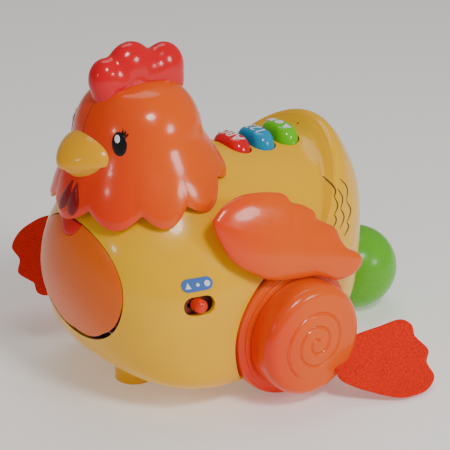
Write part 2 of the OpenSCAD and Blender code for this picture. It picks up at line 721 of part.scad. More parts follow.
cover_x0 = battery_lo[0];
cover_x1 = battery_hi[0];
module battery_cover() color("gold") difference() {
    intersection() {
        block([cover_x0, sy(battery_lo[1]), 0], [cover_x1, sy(battery_hi[1]), 40]);
        body_wall();
    }
    translate([cover_screw_x, sy(-51), 0]) {
        cylinder(r = screw_r, h = 60);
        cylinder(r = screw_head_r + 0.2, h = screw_seat_z);
    }
}
module cover_screw() color("silver") translate([cover_screw_x, sy(-51), 0]) {
    translate([0, 0, screw_seat_z]) cylinder(r = screw_r, h = 7);
    translate([0, 0, screw_seat_z - 1.3]) cylinder(r = screw_head_r, h = 1.3);
}
cover_screw_x = cover_x1 - 4.5;
screw_seat_z = sz(11) + 1.5;

// ---- Electronics ----

board_x = 49;
board_t = 1.6;
speaker_x = 60;
speaker_z = 62;
module circuit_board() color("green")
    block([-board_x - board_t, sy(-62), 78], [-board_x, sy(-8), 108]);
module speaker() color("dimgray") translate([0, sy(-80), speaker_z]) {
    rod_x(-speaker_x, -speaker_x + 7, 16);
    rod_x(-speaker_x + 7, -speaker_x + 14, 9);
}

button_top = 5;
module button(y, tone) color(tone) {
    intersection() {
        button_hole(y, 0, sz(139) - 1, body_height + button_top);
        translate([0, sy(y), sz(150) + button_top - 60]) sphere(r = 60, $fn = 96);
    }
    translate([0, sy(y), sz(139) - 3.5]) linear_extrude(2.5) oval(button_l + 3, button_w);
}
module button_red() button(button_ys[0], "red");
module button_blue() button(button_ys[1], "deepskyblue");
module button_green() button(button_ys[2], "yellowgreen");

spring_top = sz(139) - 3.5;
spring_low = spring_top - 7;
module button_springs(y) color("silver") for (s = [-1, 1])
    translate([s * 9, sy(y), spring_low]) difference() {
        cylinder(r = spring_r, h = 7);
        translate([0, 0, -1]) cylinder(r = spring_r - 0.6, h = 9);
    }
module springs_red() button_springs(button_ys[0]);
module springs_blue() button_springs(button_ys[1]);
module springs_green() button_springs(button_ys[2]);
module key_board() color("green") difference() {
    block([-22, sy(button_ys[0]) - 11, spring_low - 1.6], [22, sy(button_ys[2]) + 11, spring_low]);
    for (p = SCREW_POSTS) translate([0, sy(p[0]), sz(p[1])]) rod_x(-30, 30, post_r + 0.2);
}

module mode_knob() color("orangered") translate([0, sy(switch_y), sz(switch_z)]) {
    rod_x(switch_x - 7, switch_x + 2.5, knob_r);
    rod_x(switch_x - 16, switch_x - 7, 2);
}
module switch_body() color("black") difference() {
    block([switch_x - 20, sy(switch_y) - 12, sz(switch_z) - 6], [switch_x - 11, sy(switch_y) + 12,
        sz(switch_z) + 6]);
    translate([switch_x - 17, sy(switch_y), sz(switch_z)]) rotate([90, 0, 90]) linear_extrude(10)
        oval(2 * knob_travel + 4 + 2 * trim_gap, 4 + 2 * trim_gap);
}

module mode_label() color("steelblue") intersection() {
    difference() {
        body_solid(0.7);
        body_solid(0.1);
    }
    translate([body_width / 2 - 25, sy(switch_y), sz(switch_z + 14)]) rotate([90, 0, 90])
        linear_extrude(40) oval(label_l, label_h);
}

// ---- Ball, chute and skid ----

CHUTE = [[-112, 54.5], [-60, 53], [-12, 50.5], [12, 45], [38, 35], [52, 30]];
function chute_z(y) = lookup(y, CHUTE) - 8;
chute_w = 2 * ball_r + 3;
chute_rim = 12;
module ball_chute() color("gold") difference() {
    translate([-chute_w / 2 - 2, 0, 0]) rotate([90, 0, 90]) linear_extrude(chute_w + 4)
        polygon([for (p = CHUTE) [sy(p[0]), p[1] - 2],
            for (i = [len(CHUTE) - 1:-1:0]) [sy(CHUTE[i][0]), CHUTE[i][1] + chute_rim]]);
    outside_body();
    translate([-chute_w / 2, 0, 0]) rotate([90, 0, 90]) linear_extrude(chute_w)
        polygon([for (p = CHUTE) [sy(p[0]) - (p == CHUTE[0] ? 5 : 0), p[1]],
            for (i = [len(CHUTE) - 1:-1:0]) [sy(CHUTE[i][0]) + (i == len(CHUTE) - 1 ? 5 : 0), 150]]);
}

// Everything outside the inner face of the body shell
module outside_body() difference() {
    block([-body_width, -body_length, -20], [body_width, body_length, 2 * body_height]);
    body_solid(-wall - 0.05);
}

module ball() color("limegreen") translate([0, sy(ball_y), ball_r]) difference() {
    sphere(r = ball_r, $fn = 96);
    sphere(r = ball_r - ball_wall, $fn = 96);
}

module front_skid() color("gold") translate([0, sy(skid_y), 0]) {
    cylinder(r = skid_r, h = sz(11));
    cylinder(r = skid_r - 4, h = sz(18));
}

body_shell_left();
body_shell_right();
hood_shell_left();
hood_shell_right();
comb();
beak_upper();
beak_lower();
wattles();
eyes();
chest_door();
door_hinge_pin();
chest_lamp_lens();
chest_led();
wing_left();
wing_right();
wing_screw_left();
wing_screw_right();
drive_axle();
axle_bushes();
wheel_left();
wheel_right();
drum_left();
drum_right();
foot_left();
foot_right();
gearbox_left();
gearbox_right();
final_gear();
idler_gear();
idler_shaft();
motor();
motor_pinion();
battery_box();
cells();
contact_springs();
contact_plates();
battery_cover();
cover_screw();
circuit_board();
speaker();
button_red();
button_blue();
button_green();
springs_red();
springs_blue();
springs_green();
key_board();
mode_knob();
switch_body();
mode_label();
ball_chute();
ball();
front_skid();
case_screws();
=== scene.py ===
import math

import bmesh
import bpy
import numpy as np
from bpy.props import FloatProperty, FloatVectorProperty, IntProperty, PointerProperty
from mathutils import Matrix, Vector


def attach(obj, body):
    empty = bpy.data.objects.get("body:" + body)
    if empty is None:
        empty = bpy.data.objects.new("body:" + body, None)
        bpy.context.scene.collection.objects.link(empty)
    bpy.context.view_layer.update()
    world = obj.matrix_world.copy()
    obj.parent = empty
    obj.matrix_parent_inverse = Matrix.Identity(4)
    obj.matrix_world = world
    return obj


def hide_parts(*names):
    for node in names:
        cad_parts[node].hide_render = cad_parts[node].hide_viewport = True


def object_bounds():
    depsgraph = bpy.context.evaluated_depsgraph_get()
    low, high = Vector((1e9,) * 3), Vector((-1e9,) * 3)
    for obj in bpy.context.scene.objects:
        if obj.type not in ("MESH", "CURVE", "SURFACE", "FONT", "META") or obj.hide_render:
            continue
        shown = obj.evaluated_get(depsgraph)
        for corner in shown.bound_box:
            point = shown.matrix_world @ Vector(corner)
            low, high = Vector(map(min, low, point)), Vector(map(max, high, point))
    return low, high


bl_info = {
    "name": "Waddling Toy Hen",
    "version": (1, 0, 0),
    "blender": (4, 5, 0),
    "location": "View3D > Sidebar > Toy Hen",
    "description": "Skins, trim and finishes for a waddling toy hen with a play ball",
    "category": "Add Mesh",
}

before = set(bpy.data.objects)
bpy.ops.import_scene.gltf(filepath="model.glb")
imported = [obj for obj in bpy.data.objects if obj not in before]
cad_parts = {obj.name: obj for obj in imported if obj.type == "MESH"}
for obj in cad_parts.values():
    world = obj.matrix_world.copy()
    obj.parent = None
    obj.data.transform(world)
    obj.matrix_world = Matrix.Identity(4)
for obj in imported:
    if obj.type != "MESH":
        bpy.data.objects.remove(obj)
CAD_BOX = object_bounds()
MM = 0.001
TURN = 2 * math.pi

# Outline of the body on its centre plane, (y, z) in mm, from the rump over the back to the chest
OUTLINE = (
    (88, 82), (87, 118), (78, 141), (63, 157), (46, 147), (24, 146), (-2, 148),
    (-43, 158), (-72, 160), (-101, 150), (-127, 127), (-137, 92), (-131, 56), (-116, 27),
    (-78, 12), (-27, 11), (18, 13), (57, 26), (82, 50),
)
HEART = Vector((-27, 82))  # middle of the outline
POLE = Vector((-35, 52))  # where the side of the body stands furthest out
HALF_WIDTH = 80
FULLNESS = 0.68
WALL = 2.5
SEAM = 0.06  # half the gap between the two halves of a shell
SEAM_BAND, SEAM_DIP = 0.8, 0.45  # width and depth of the rounding beside the body's seam
MEAN_REACH = 90  # typical distance from the heart to the skin
SKIN_TOLERANCE = 0.35  # how far off the surface a corner may lie and still count as skin
SKIN_ALIGNMENT = 0.93  # least cosine between a face and the skin under it

# Bell of the hood, (depth below the crown, radius) in mm
BELL = (
    (0, 0), (1.6, 15), (4.5, 24.5), (9.5, 30.5), (16, 35.5), (25, 39.5), (36, 42), (47, 46),
    (59, 51), (71, 54.5), (83, 57.5),
)
HOOD_Y = -78
CROWN_Z = 208
HEM_Z = 127
HEM_RISE = 25
HOOD_BACK = 9

AXLE = Vector((0, -12, 45))
WELL_X = 64
WELL_R = 47.2
FLANGE_X = 68
DRUM_X = 82
DRUM_W = 21


# ---- Numbers and curves ----


def along(points, t):
    """Point of the smooth closed curve through points, at position t."""
    n = len(points)
    i = math.floor(t)
    f = t - i
    a, b, c, d = (Vector(points[(i + k) % n]) for k in (-1, 0, 1, 2))
    return 0.5 * (
        2 * b + (c - a) * f + (2 * a - 5 * b + 4 * c - d) * f * f
        + (3 * b - a - 3 * c + d) * f * f * f
    )


def between(points, t):
    """Point of the smooth open curve through points, at t from 0 to 1."""
    ends = [2 * Vector(points[0]) - Vector(points[1]), *map(Vector, points)]
    ends.append(2 * ends[-1] - ends[-2])
    spot = min(t, 0.99999) * (len(points) - 1)
    return along(ends, 1 + spot)


def ramp(value, low, high):
    """0 below low, 1 above high, and smooth between."""
    f = min(max((value - low) / (high - low), 0), 1)
    return f * f * (3 - 2 * f)


def body_point(t, sine, out=0.0):
    """Point of the body, stood off it by out.
    t runs round the outline, and sine from 0 at the centre plane to 1 at the side."""
    swell = max(1 - sine * sine, 0) ** (FULLNESS / 2)
    centre = HEART.lerp(POLE, sine * sine)
    arm = along(OUTLINE, t) - HEART
    spot = centre + arm * swell * (1 + out / arm.length)
    return Vector(((HALF_WIDTH + out) * sine, spot.x, spot.y))


def outline_table(steps=1440):
    """Angle about the heart and distance from it, all round the outline."""
    arms = [along(OUTLINE, len(OUTLINE) * i / steps) - HEART for i in range(steps)]
    pairs = sorted((math.atan2(a.y, a.x), a.length) for a in arms)
    angles, reaches = np.array(pairs).T
    return (
        np.concatenate(([angles[-1] - TURN], angles, [angles[0] + TURN])),
        np.concatenate(([reaches[-1]], reaches, [reaches[0]])),
    )


ANGLES, REACHES = outline_table()


def body_level(x, y, z):
    """Below 1 inside the body and above 1 outside it, for arrays of places in mm."""
    s = np.clip(np.abs(x) / HALF_WIDTH, 0, 0.9999)
    py = y - (HEART.x + (POLE.x - HEART.x) * s * s)
    pz = z - (HEART.y + (POLE.y - HEART.y) * s * s)
    reach = np.interp(np.arctan2(pz, py), ANGLES, REACHES)
    return np.hypot(py, pz) / (reach * (1 - s * s) ** (FULLNESS / 2))


def body_hit(x, y, z, axis, inside, outside):
    """Where a line along axis (0, 1 or 2) leaves the body, between inside and outside, in mm."""
    low, high = float(inside), float(outside)
    for _ in range(34):
        middle = (low + high) / 2
        spot = [x, y, z]
        spot[axis] = middle
        if body_level(*(np.array(float(v)) for v in spot)) < 1:
            low = middle
        else:
            high = middle
    return low


def body_normal(x, y, z):
    """Outward directions of the body's surface at arrays of places in mm."""
    h = 0.2
    slopes = np.stack(
        [
            body_level(x + h, y, z) - body_level(x - h, y, z),
            body_level(x, y + h, z) - body_level(x, y - h, z),
            body_level(x, y, z + h) - body_level(x, y, z - h),
        ],
        axis=-1,
    )
    return slopes / np.linalg.norm(slopes, axis=-1, keepdims=True)


def bell_table(steps=600):
    """Depth below the crown and radius, along a smooth curve through the bell's points."""
    spots = [between(BELL, i / steps) for i in range(steps + 1)]
    depths = np.maximum.accumulate([s.x for s in spots])
    return depths, np.array([s.y for s in spots])


BELL_DEPTHS, BELL_RADII = bell_table()


def hood_hem(a, scallop_depth, scallops):
    """Height of the hood's hem; a is 0 at the beak and pi at the nape."""
    behind = (1 - math.cos(a)) / 2
    swing = a - 0.09 * max(0, math.sin(2 * a))
    return HEM_Z + HEM_RISE * behind**3.2 + scallop_depth * (1 - abs(math.cos(swing * scallops)))


def hood_radius(a, depth):
    """Radius of the hood at angle a and a depth below its crown, wider at the nape."""
    behind = (1 - math.cos(a)) / 2
    flare = HOOD_BACK * behind**2 * min(1, max(0, (depth - 35) / 48))
    return float(np.interp(depth, BELL_DEPTHS, BELL_RADII)) + flare


def hood_place(a, z, out=0.0):
    """Point on the hood at angle a and height z, raised by out."""
    r = hood_radius(abs(a), CROWN_Z - z) + out
    return Vector((r * math.sin(a), HOOD_Y - r * math.cos(a), z))


# ---- Finishes ----


def new_material(name):
    """A bare Principled shader; gives back the material, its nodes and its links."""
    paint = bpy.data.materials.new(name)
    paint.use_nodes = True
    nodes, links = paint.node_tree.nodes, paint.node_tree.links
    nodes.clear()
    shader = nodes.new("ShaderNodeBsdfPrincipled")
    shader.name = "shader"
    output = nodes.new("ShaderNodeOutputMaterial")
    links.new(shader.outputs["BSDF"], output.inputs["Surface"])
    place = nodes.new("ShaderNodeTexCoord")
    place.name = "place"
    return paint, nodes, links


def add_noise(nodes, links, scale, detail=3.0, stretch=(1, 1, 1)):
    """Noise on Object coordinates; scale is in features per metre."""
    mapping = nodes.new("ShaderNodeMapping")
    mapping.inputs["Scale"].default_value = stretch
    links.new(nodes["place"].outputs["Object"], mapping.inputs["Vector"])
    grain = nodes.new("ShaderNodeTexNoise")
    grain.inputs["Scale"].default_value = scale
    grain.inputs["Detail"].default_value = detail
    links.new(mapping.outputs["Vector"], grain.inputs["Vector"])
    return grain.outputs["Fac"]


def add_range(nodes, links, value, low, high, new_low, new_high):
    """Spreads value from low and high onto new_low and new_high."""
    spread = nodes.new("ShaderNodeMapRange")
    ends = {"From Min": low, "From Max": high, "To Min": new_low, "To Max": new_high}
    for name, number in ends.items():
        spread.inputs[name].default_value = number
    links.new(value, spread.inputs["Value"])
    return spread.outputs["Result"]


def add_mix(nodes, links, amount, first, second):
    """Colour first where amount is 0 and second where it is 1; each is a colour or a socket."""
    mix = nodes.new("ShaderNodeMix")
    mix.data_type = "RGBA"
    links.new(amount, mix.inputs["Factor"])
    for index, tone in ((6, first), (7, second)):
        if isinstance(tone, bpy.types.NodeSocket):
            links.new(tone, mix.inputs[index])
        else:
            mix.inputs[index].default_value = (*tone[:3], 1)
    return mix.outputs[2]


def vary_tone(nodes, links, amount, first, second):
    mixed = add_mix(nodes, links, amount, first, second)
    links.new(mixed, nodes["shader"].inputs["Base Color"])


def vary_rough(nodes, links, grain, rough):
    spread = add_range(nodes, links, grain, 0.3, 0.7, rough - 0.08, rough + 0.1)
    links.new(spread, nodes["shader"].inputs["Roughness"])


def darker(tone, share):
    return tuple(c * share for c in tone)


def add_bump(nodes, links, heights):
    """Bumps laid one over another, each (height, depth in metres, strength)."""
    below = None
    for height, depth, strength in heights:
        bump = nodes.new("ShaderNodeBump")
        bump.inputs["Distance"].default_value = depth
        bump.inputs["Strength"].default_value = strength
        links.new(height, bump.inputs["Height"])
        if below:
            links.new(below, bump.inputs["Normal"])
        below = bump.outputs["Normal"]
    links.new(below, nodes["shader"].inputs["Normal"])


def add_slope(nodes, links, axis, low, high):
    """0 at low and 1 at high along an axis of the frame, in mm."""
    split = nodes.new("ShaderNodeSeparateXYZ")
    links.new(nodes["place"].outputs["Object"], split.inputs["Vector"])
    slope = add_range(nodes, links, split.outputs[axis], low * MM, high * MM, 0, 1)
    slope.node.interpolation_type = "SMOOTHSTEP"
    return slope


def moulded(name, tone, rough=0.24, coat=0.35, deep=None, slope=None, glow=0.04):
    """Glossy moulded plastic: faint colour clouds, a fine orange-peel skin and rubbed patches.
    Where slope (axis, low, high) is given, painted shade deepens the colour to deep towards its low
    end, the side that gets less light."""
    paint, nodes, links = new_material(name)
    shader = nodes["shader"]
    base = tone
    # Painted shade: with a slope, the colour deepens to deep towards the low end, the side that
    # gets less light.
    if slope:
        base = add_mix(nodes, links, add_slope(nodes, links, *slope), deep, tone)
    clouds = add_range(nodes, links, add_noise(nodes, links, 22, 2), 0.35, 0.7, 0, 0.55)
    shade = nodes.new("ShaderNodeMix")
    shade.data_type = "RGBA"
    shade.blend_type = "MULTIPLY"
    shade.inputs[7].default_value = (0.93, 0.9, 0.9, 1)
    links.new(clouds, shade.inputs["Factor"])
    if slope:
        links.new(base, shade.inputs[6])
    else:
        shade.inputs[6].default_value = (*tone, 1)
    links.new(shade.outputs[2], shader.inputs["Base Color"])
    rubbed = add_noise(nodes, links, 160, 5, (1, 1, 2.4))
    links.new(
        add_range(nodes, links, rubbed, 0.3, 0.75, rough - 0.03, rough + 0.05),
        shader.inputs["Roughness"],
    )
    peel = add_noise(nodes, links, 620, 2)
    ripple = add_noise(nodes, links, 46, 1)
    add_bump(nodes, links, ((ripple, 0.0006, 0.1), (peel, 0.00006, 0.35)))
    shader.inputs["Coat Weight"].default_value = coat * 0.4
    shader.inputs["Coat Roughness"].default_value = 0.05
    shader.inputs["Subsurface Weight"].default_value = glow
    shader.inputs["Subsurface Radius"].default_value = (0.004, 0.0022, 0.001)
    shader.inputs["Specular IOR Level"].default_value = 0.26
    return paint


def felted(name, tone):
    """Pressed felt: matted fibres in two sizes, colour flecks and a soft nap."""
    paint, nodes, links = new_material(name)
    shader = nodes["shader"]
    fibres = add_noise(nodes, links, 900, 6, (1, 1, 0.6))
    tufts = add_noise(nodes, links, 2600, 3)
    clumps = add_noise(nodes, links, 120, 3)
    flecks = add_range(nodes, links, fibres, 0.32, 0.68, 0, 1)
    brighter = tuple(min(1, c * 1.15) for c in tone)
    mixed = add_mix(nodes, links, flecks, darker(tone, 0.72), brighter)
    soft = add_range(nodes, links, clumps, 0.35, 0.65, 0, 0.4)
    vary_tone(nodes, links, soft, mixed, tone)
    add_bump(nodes, links, ((clumps, 0.0008, 0.35), (fibres, 0.0005, 0.8), (tufts, 0.0002, 0.8)))
    shader.inputs["Roughness"].default_value = 0.94
    shader.inputs["Specular IOR Level"].default_value = 0.2
    shader.inputs["Sheen Weight"].default_value = 0.12
    shader.inputs["Sheen Roughness"].default_value = 0.5
    shader.inputs["Sheen Tint"].default_value = (1, 0.3, 0.2, 1)
    return paint


def metal(name, tone, rough, lines=(1, 1, 1)):
    """Bare metal with drawn or turned marks along lines."""
    paint, nodes, links = new_material(name)
    marks = add_noise(nodes, links, 900, 4, lines)
    stains = add_range(nodes, links, add_noise(nodes, links, 60, 3), 0.3, 0.7, 0, 1)
    vary_tone(nodes, links, stains, tone, darker(tone, 0.8))
    vary_rough(nodes, links, marks, rough)
    add_bump(nodes, links, ((marks, 0.00005, 0.5),))
    nodes["shader"].inputs["Metallic"].default_value = 1.0
    return paint


def satin(name, tone, rough=0.5, grain=420):
    """Spark-eroded plastic of the inner parts: an even fine grain."""
    paint, nodes, links = new_material(name)
    grit = add_noise(nodes, links, grain, 4)
    shade = add_range(nodes, links, grit, 0.3, 0.7, 0, 1)
    vary_tone(nodes, links, shade, darker(tone, 0.82), tone)
    vary_rough(nodes, links, grit, rough)
    add_bump(nodes, links, ((grit, 0.0002, 0.4),))
    return paint


def floor_paper(name, tone):
    """Matt studio paper."""
    paint, nodes, links = new_material(name)
    fibres = add_noise(nodes, links, 240, 4)
    pale = add_range(nodes, links, fibres, 0.3, 0.7, 0, 1)
    shader = nodes["shader"]
    vary_tone(nodes, links, pale, tone, darker(tone, 0.98))
    shader.inputs["Roughness"].default_value = 0.85
    shader.inputs["Emission Color"].default_value = (*tone, 1)
    shader.inputs["Emission Strength"].default_value = 0.22
    return paint


PAINTS = {}


def mix_paints(tones):
    """Every finish of the hen, by name."""
    yellow, orange = tuple(tones.yellow), tuple(tones.orange)
    red_orange = tuple(tones.red_orange)
    PAINTS.update(
        yellow=moulded("yellow plastic", yellow, 0.2, 0.5),
        # Painted shade: hood, wing and drum deepen to red orange towards the front, the wheel
        # towards the bottom, where less light falls.
        hood=moulded("hood plastic", orange, 0.2, 0.5, red_orange, ("Y", -136, -72)),
        wing=moulded("wing plastic", orange, 0.2, 0.5, red_orange, ("Y", -92, -20)),
        hatch=moulded("hatch plastic", tuple(tones.patch), 0.3, 0.3),
        wheel=moulded("wheel plastic", orange, 0.24, 0.4, red_orange, ("Z", 20, 95)),
        drum=moulded("drum plastic", orange, 0.22, 0.45, red_orange, ("Y", -58, -14)),
        comb=moulded("comb plastic", tuple(tones.comb), 0.16, 0.6),
        beak=moulded("beak plastic", tuple(tones.beak), 0.2, 0.5),
        wattle=moulded("wattle plastic", tuple(tones.wattle), 0.25, 0.4),
        lens=moulded("lamp lens", (0.8, 0.012, 0.008), 0.22, 0.6),
        knob=moulded("knob plastic", red_orange, 0.25, 0.4),
        red_key=moulded("red key plastic", tuple(tones.red_key), 0.14, 0.7),
        blue_key=moulded("blue key plastic", tuple(tones.blue_key), 0.14, 0.7),
        green_key=moulded("green key plastic", tuple(tones.green_key), 0.14, 0.7),
        ball=moulded("ball plastic", tuple(tones.ball), 0.28, 0.3, glow=0.15),
        print_white=moulded("white print", (0.86, 0.86, 0.84), 0.3, 0.3, glow=0.0),
        print_blue=moulded("label film", (0.07, 0.17, 0.52), 0.35, 0.2, glow=0.0),
        # Painted shade: a dark brown for the sheet behind the switch slot, standing for the shade
        # inside the slot.
        tray=satin("tray plastic", (0.2, 0.035, 0.004), 0.45),
        # Painted shade: a dark brown for the hood's seam gap and the tail's feather grooves.
        print_brown=satin("painted seam and groove shade", (0.11, 0.035, 0.008), 0.55),
        eye=moulded("eye paint", (0.008, 0.008, 0.009), 0.12, 0.6, glow=0.0),
        felt=felted("red felt", tuple(tones.felt)),
        steel=metal("steel", (0.6, 0.6, 0.62), 0.28, (0.2, 1, 1)),
        brass=metal("brass", (0.78, 0.56, 0.2), 0.3),
        acetal=satin("natural acetal", (0.82, 0.8, 0.72), 0.42),
        dark=satin("dark inner plastic", (0.035, 0.035, 0.038), 0.5),
        board=satin("circuit board", (0.02, 0.16, 0.06), 0.35, 300),
        cell=moulded("cell wrap", (0.03, 0.16, 0.07), 0.3, 0.4, glow=0.0),
        lamp=satin("lamp resin", (0.85, 0.85, 0.8), 0.2),
        paper=floor_paper("studio paper", (0.93, 0.915, 0.89)),
    )


# ---- Making pieces ----


def shape_ball(around, rings, pole="Z"):
    """A unit ball whose poles lie on the given axis."""
    turn = {
        "Z": Matrix.Identity(4),
        "X": Matrix.Rotation(math.pi / 2, 4, "Y"),
        "Y": Matrix.Rotation(-math.pi / 2, 4, "X"),
    }[pole]
    bm = bmesh.new()
    bmesh.ops.create_uvsphere(bm, u_segments=around, v_segments=rings, radius=1, matrix=turn)
    return bm


def shape_by(bm, rule):
    """Moves every corner to where rule puts it, in mm."""
    for v in bm.verts:
        v.co = Vector(rule(v.co.copy())) * MM
    return bm


def shape_lathe(profile, steps, centre, side=1):
    """Turns a profile of (x, radius) in mm about the line along X through centre."""
    bm = bmesh.new()
    spots = [bm.verts.new((x * MM, 0, r * MM)) for x, r in profile]
    edges = [bm.edges.new(pair) for pair in zip(spots, spots[1:])]
    bmesh.ops.spin(
        bm, geom=[*spots, *edges], cent=(0, 0, 0), axis=(1, 0, 0), angle=TURN,
        steps=steps, use_merge=True,
    )
    bmesh.ops.remove_doubles(bm, verts=bm.verts, dist=1e-6)
    bmesh.ops.recalc_face_normals(bm, faces=bm.faces)
    bmesh.ops.translate(bm, verts=bm.verts, vec=Vector(centre) * MM)
    if side < 0:
        flip_side(bm)
    return bm


def shape_prism(outline, low, high, axis="Z"):
    """A straight prism on an outline in mm, from low to high along an axis."""
    place = {
        "Z": lambda p, h: (p[0], p[1], h),
        "Y": lambda p, h: (p[0], h, p[1]),
        "X": lambda p, h: (h, p[0], p[1]),
    }[axis]
    bm = bmesh.new()
    base = bm.faces.new([bm.verts.new(Vector(place(p, low)) * MM) for p in outline])
    grown = bmesh.ops.extrude_face_region(bm, geom=[base])
    lift = Vector(place((0, 0), high - low)) * MM
    tops = [g for g in grown["geom"] if isinstance(g, bmesh.types.BMVert)]
    bmesh.ops.translate(bm, verts=tops, vec=lift)
    bmesh.ops.recalc_face_normals(bm, faces=bm.faces)
    return bm


def shape_rod(x0, x1, radius, y, z, axis="X", steps=128):
    """A cylinder in mm along X, Y or Z through the other two places."""
    return shape_prism(circle_points((y, z), radius, steps), x0, x1, axis)


def circle_points(mid, radius, steps=24):
    return [
        (mid[0] + radius * math.cos(TURN * i / steps), mid[1] + radius * math.sin(TURN * i / steps))
        for i in range(steps)
    ]


def stadium(length, width, mid=(0, 0), steps=16):
    """Outline of an oval with round ends, long along its first axis."""
    r = width / 2
    spots = []
    for end in (1, -1):
        for i in range(steps + 1):
            a = math.pi * (i / steps - 0.5) + (0 if end > 0 else math.pi)
            end_x = mid[0] + end * (length / 2 - r)
            spots.append((end_x + r * math.cos(a), mid[1] + r * math.sin(a)))
    return spots


def flip_side(bm):
    """Mirrors a shape to the hen's other side."""
    bmesh.ops.scale(bm, verts=bm.verts, vec=(-1, 1, 1))
    bmesh.ops.reverse_faces(bm, faces=bm.faces)
    return bm


def everything(bm):
    return bm.verts[:] + bm.edges[:] + bm.faces[:]


def merge_into(bm, extra):
    """Adds a copy of extra to bm, and frees extra."""
    scratch = bpy.data.meshes.new("scratch")
    extra.to_mesh(scratch)
    extra.free()
    bm.from_mesh(scratch)
    bpy.data.meshes.remove(scratch)


def to_object(bm, name):
    mesh = bpy.data.meshes.new(name)
    bm.to_mesh(mesh)
    bm.free()
    obj = bpy.data.objects.new(name, mesh)
    bpy.context.scene.collection.objects.link(obj)
    return obj


def drop(obj):
    """Deletes an object and its mesh."""
    mesh = obj.data
    bpy.data.objects.remove(obj)
    bpy.data.meshes.remove(mesh)


def settle(obj):
    """Applies the object's modifiers to its mesh."""
    shapes = bpy.context.evaluated_depsgraph_get()
    mesh = bpy.data.meshes.new_from_object(obj.evaluated_get(shapes))
    old = obj.data
    obj.modifiers.clear()
    obj.data = mesh
    bpy.data.meshes.remove(old)
    return obj


def carve(obj, cutters):
    """Cuts each cutter (a bmesh or an object) out of obj, and deletes it."""
    tools = [c if isinstance(c, bpy.types.Object) else to_object(c, "cutter") for c in cutters]
    for tool in tools:
        cut = obj.modifiers.new("cut", "BOOLEAN")
        cut.operation = "DIFFERENCE"
        cut.solver = "EXACT"
        cut.object = tool
    settle(obj)
    for tool in tools:
        drop(tool)
    return obj


def finish_piece(obj, body, paint, stands_for=(), crease=38):
    """Smooth shading, a finish, a body to ride on, and the nodes that it stands for."""
    mesh = obj.data
    mesh.materials.clear()
    mesh.materials.append(PAINTS[paint])
    mesh.polygons.foreach_set("use_smooth", [True] * len(mesh.polygons))
    mesh.set_sharp_from_angle(angle=math.radians(crease))
    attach(obj, body)
    if stands_for:
        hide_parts(*stands_for)
    return obj


def make_piece(bm, name, body, paint, stands_for=(), crease=38):
    """Closes a shape, turns its faces outwards and finishes it."""
    bmesh.ops.remove_doubles(bm, verts=bm.verts, dist=1e-7)
    bmesh.ops.recalc_face_normals(bm, faces=bm.faces)
    return finish_piece(to_object(bm, name), body, paint, stands_for, crease)


def make_line(name, spots, radii, body, paint):
    """A round tapering line through spots in mm, as a mesh."""
    curve = bpy.data.curves.new(name, "CURVE")
    curve.dimensions = "3D"
    curve.bevel_depth = MM
    curve.bevel_resolution = 3
    curve.use_fill_caps = True
    spline = curve.splines.new("POLY")
    spline.points.add(len(spots) - 1)
    for point, spot, radius in zip(spline.points, spots, radii):
        point.co = (*(Vector(spot) * MM), 1)
        point.radius = radius
    holder = bpy.data.objects.new(name, curve)
    bpy.context.scene.collection.objects.link(holder)
    shapes = bpy.context.evaluated_depsgraph_get()
    mesh = bpy.data.meshes.new_from_object(holder.evaluated_get(shapes))
    bpy.data.objects.remove(holder)
    obj = bpy.data.objects.new(name, mesh)
    bpy.context.scene.collection.objects.link(obj)
    return finish_piece(obj, body, paint)


def smooth_body_normals(obj):
    """Shades the faces that lie on the body's surface as one smooth skin."""
    mesh = obj.data
    count = len(mesh.vertices)
    places = np.empty(count * 3)
    mesh.vertices.foreach_get("co", places)
    places = places.reshape(-1, 3) / MM
    x, y, z = places.T
    skin = body_normal(x, y, z)
    on_skin = np.abs(body_level(x, y, z) - 1) * MEAN_REACH < SKIN_TOLERANCE
    corner_normals = np.empty(len(mesh.loops) * 3)
    mesh.corner_normals.foreach_get("vector", corner_normals)
    corner_normals = corner_normals.reshape(-1, 3)
    for face in mesh.polygons:
        corners = list(face.loop_indices)
        spots = list(face.vertices)
        outward = Vector(skin[spots].mean(axis=0))
        if all(on_skin[s] for s in spots) and outward.dot(face.normal) > SKIN_ALIGNMENT:
            corner_normals[corners] = skin[spots]
    mesh.normals_split_custom_set(corner_normals.tolist())


# ---- Body ----


def body_ball(out, around, rings):
    """The whole closed body, stood off its surface by out."""
    bm = shape_ball(around, rings, "X")

    def rule(co):
        t = (math.atan2(co.z, co.y) % TURN) / TURN * len(OUTLINE)
        spot = body_point(t, min(abs(co.x), 1), out)
        spot.x = math.copysign(spot.x, co.x)
        return spot

    return shape_by(bm, rule)


def round_seam(bm):
    """Cuts a body at its centre plane and sinks the rim that meets its twin."""
    for x, clear in ((SEAM, True), (SEAM_BAND, False)):
        bmesh.ops.bisect_plane(
            bm, geom=everything(bm), plane_co=(x * MM, 0, 0), plane_no=(1, 0, 0), clear_inner=clear
        )
    for v in bm.verts:
        if v.co.x < (SEAM + 0.01) * MM:
            arm = Vector((v.co.y, v.co.z)) - HEART * MM
            arm *= 1 - SEAM_DIP * MM / arm.length
            v.co.y, v.co.z = HEART.x * MM + arm.x, HEART.y * MM + arm.y


DOOR_Z = 86
DOOR_HALF = (48.5, 39)
DOOR_LOBE = 1.6
LAMP_Z = 126
LAMP_R = 11


def door_edge(a, grow, lobes, lowered=0.0):
    """Egg outline of the chest hatch, (x, z) in mm."""
    c, s = math.cos(a), math.sin(a)
    lobe = lobes * (abs(math.sin(4.5 * (a - 1.5 * math.pi))) - 1) if s < -0.35 else 0
    return (
        (DOOR_HALF[0] + grow) * c * (1 - 0.06 * s),
        DOOR_Z + (DOOR_HALF[1] + grow + lobe) * s + (lowered if s < 0 else 0),
    )


BUTTON_Y = (-4, 16, 36)
SWITCH = (-83, 80)  # (y, z) of the mode switch
LABEL_Z = 93.6


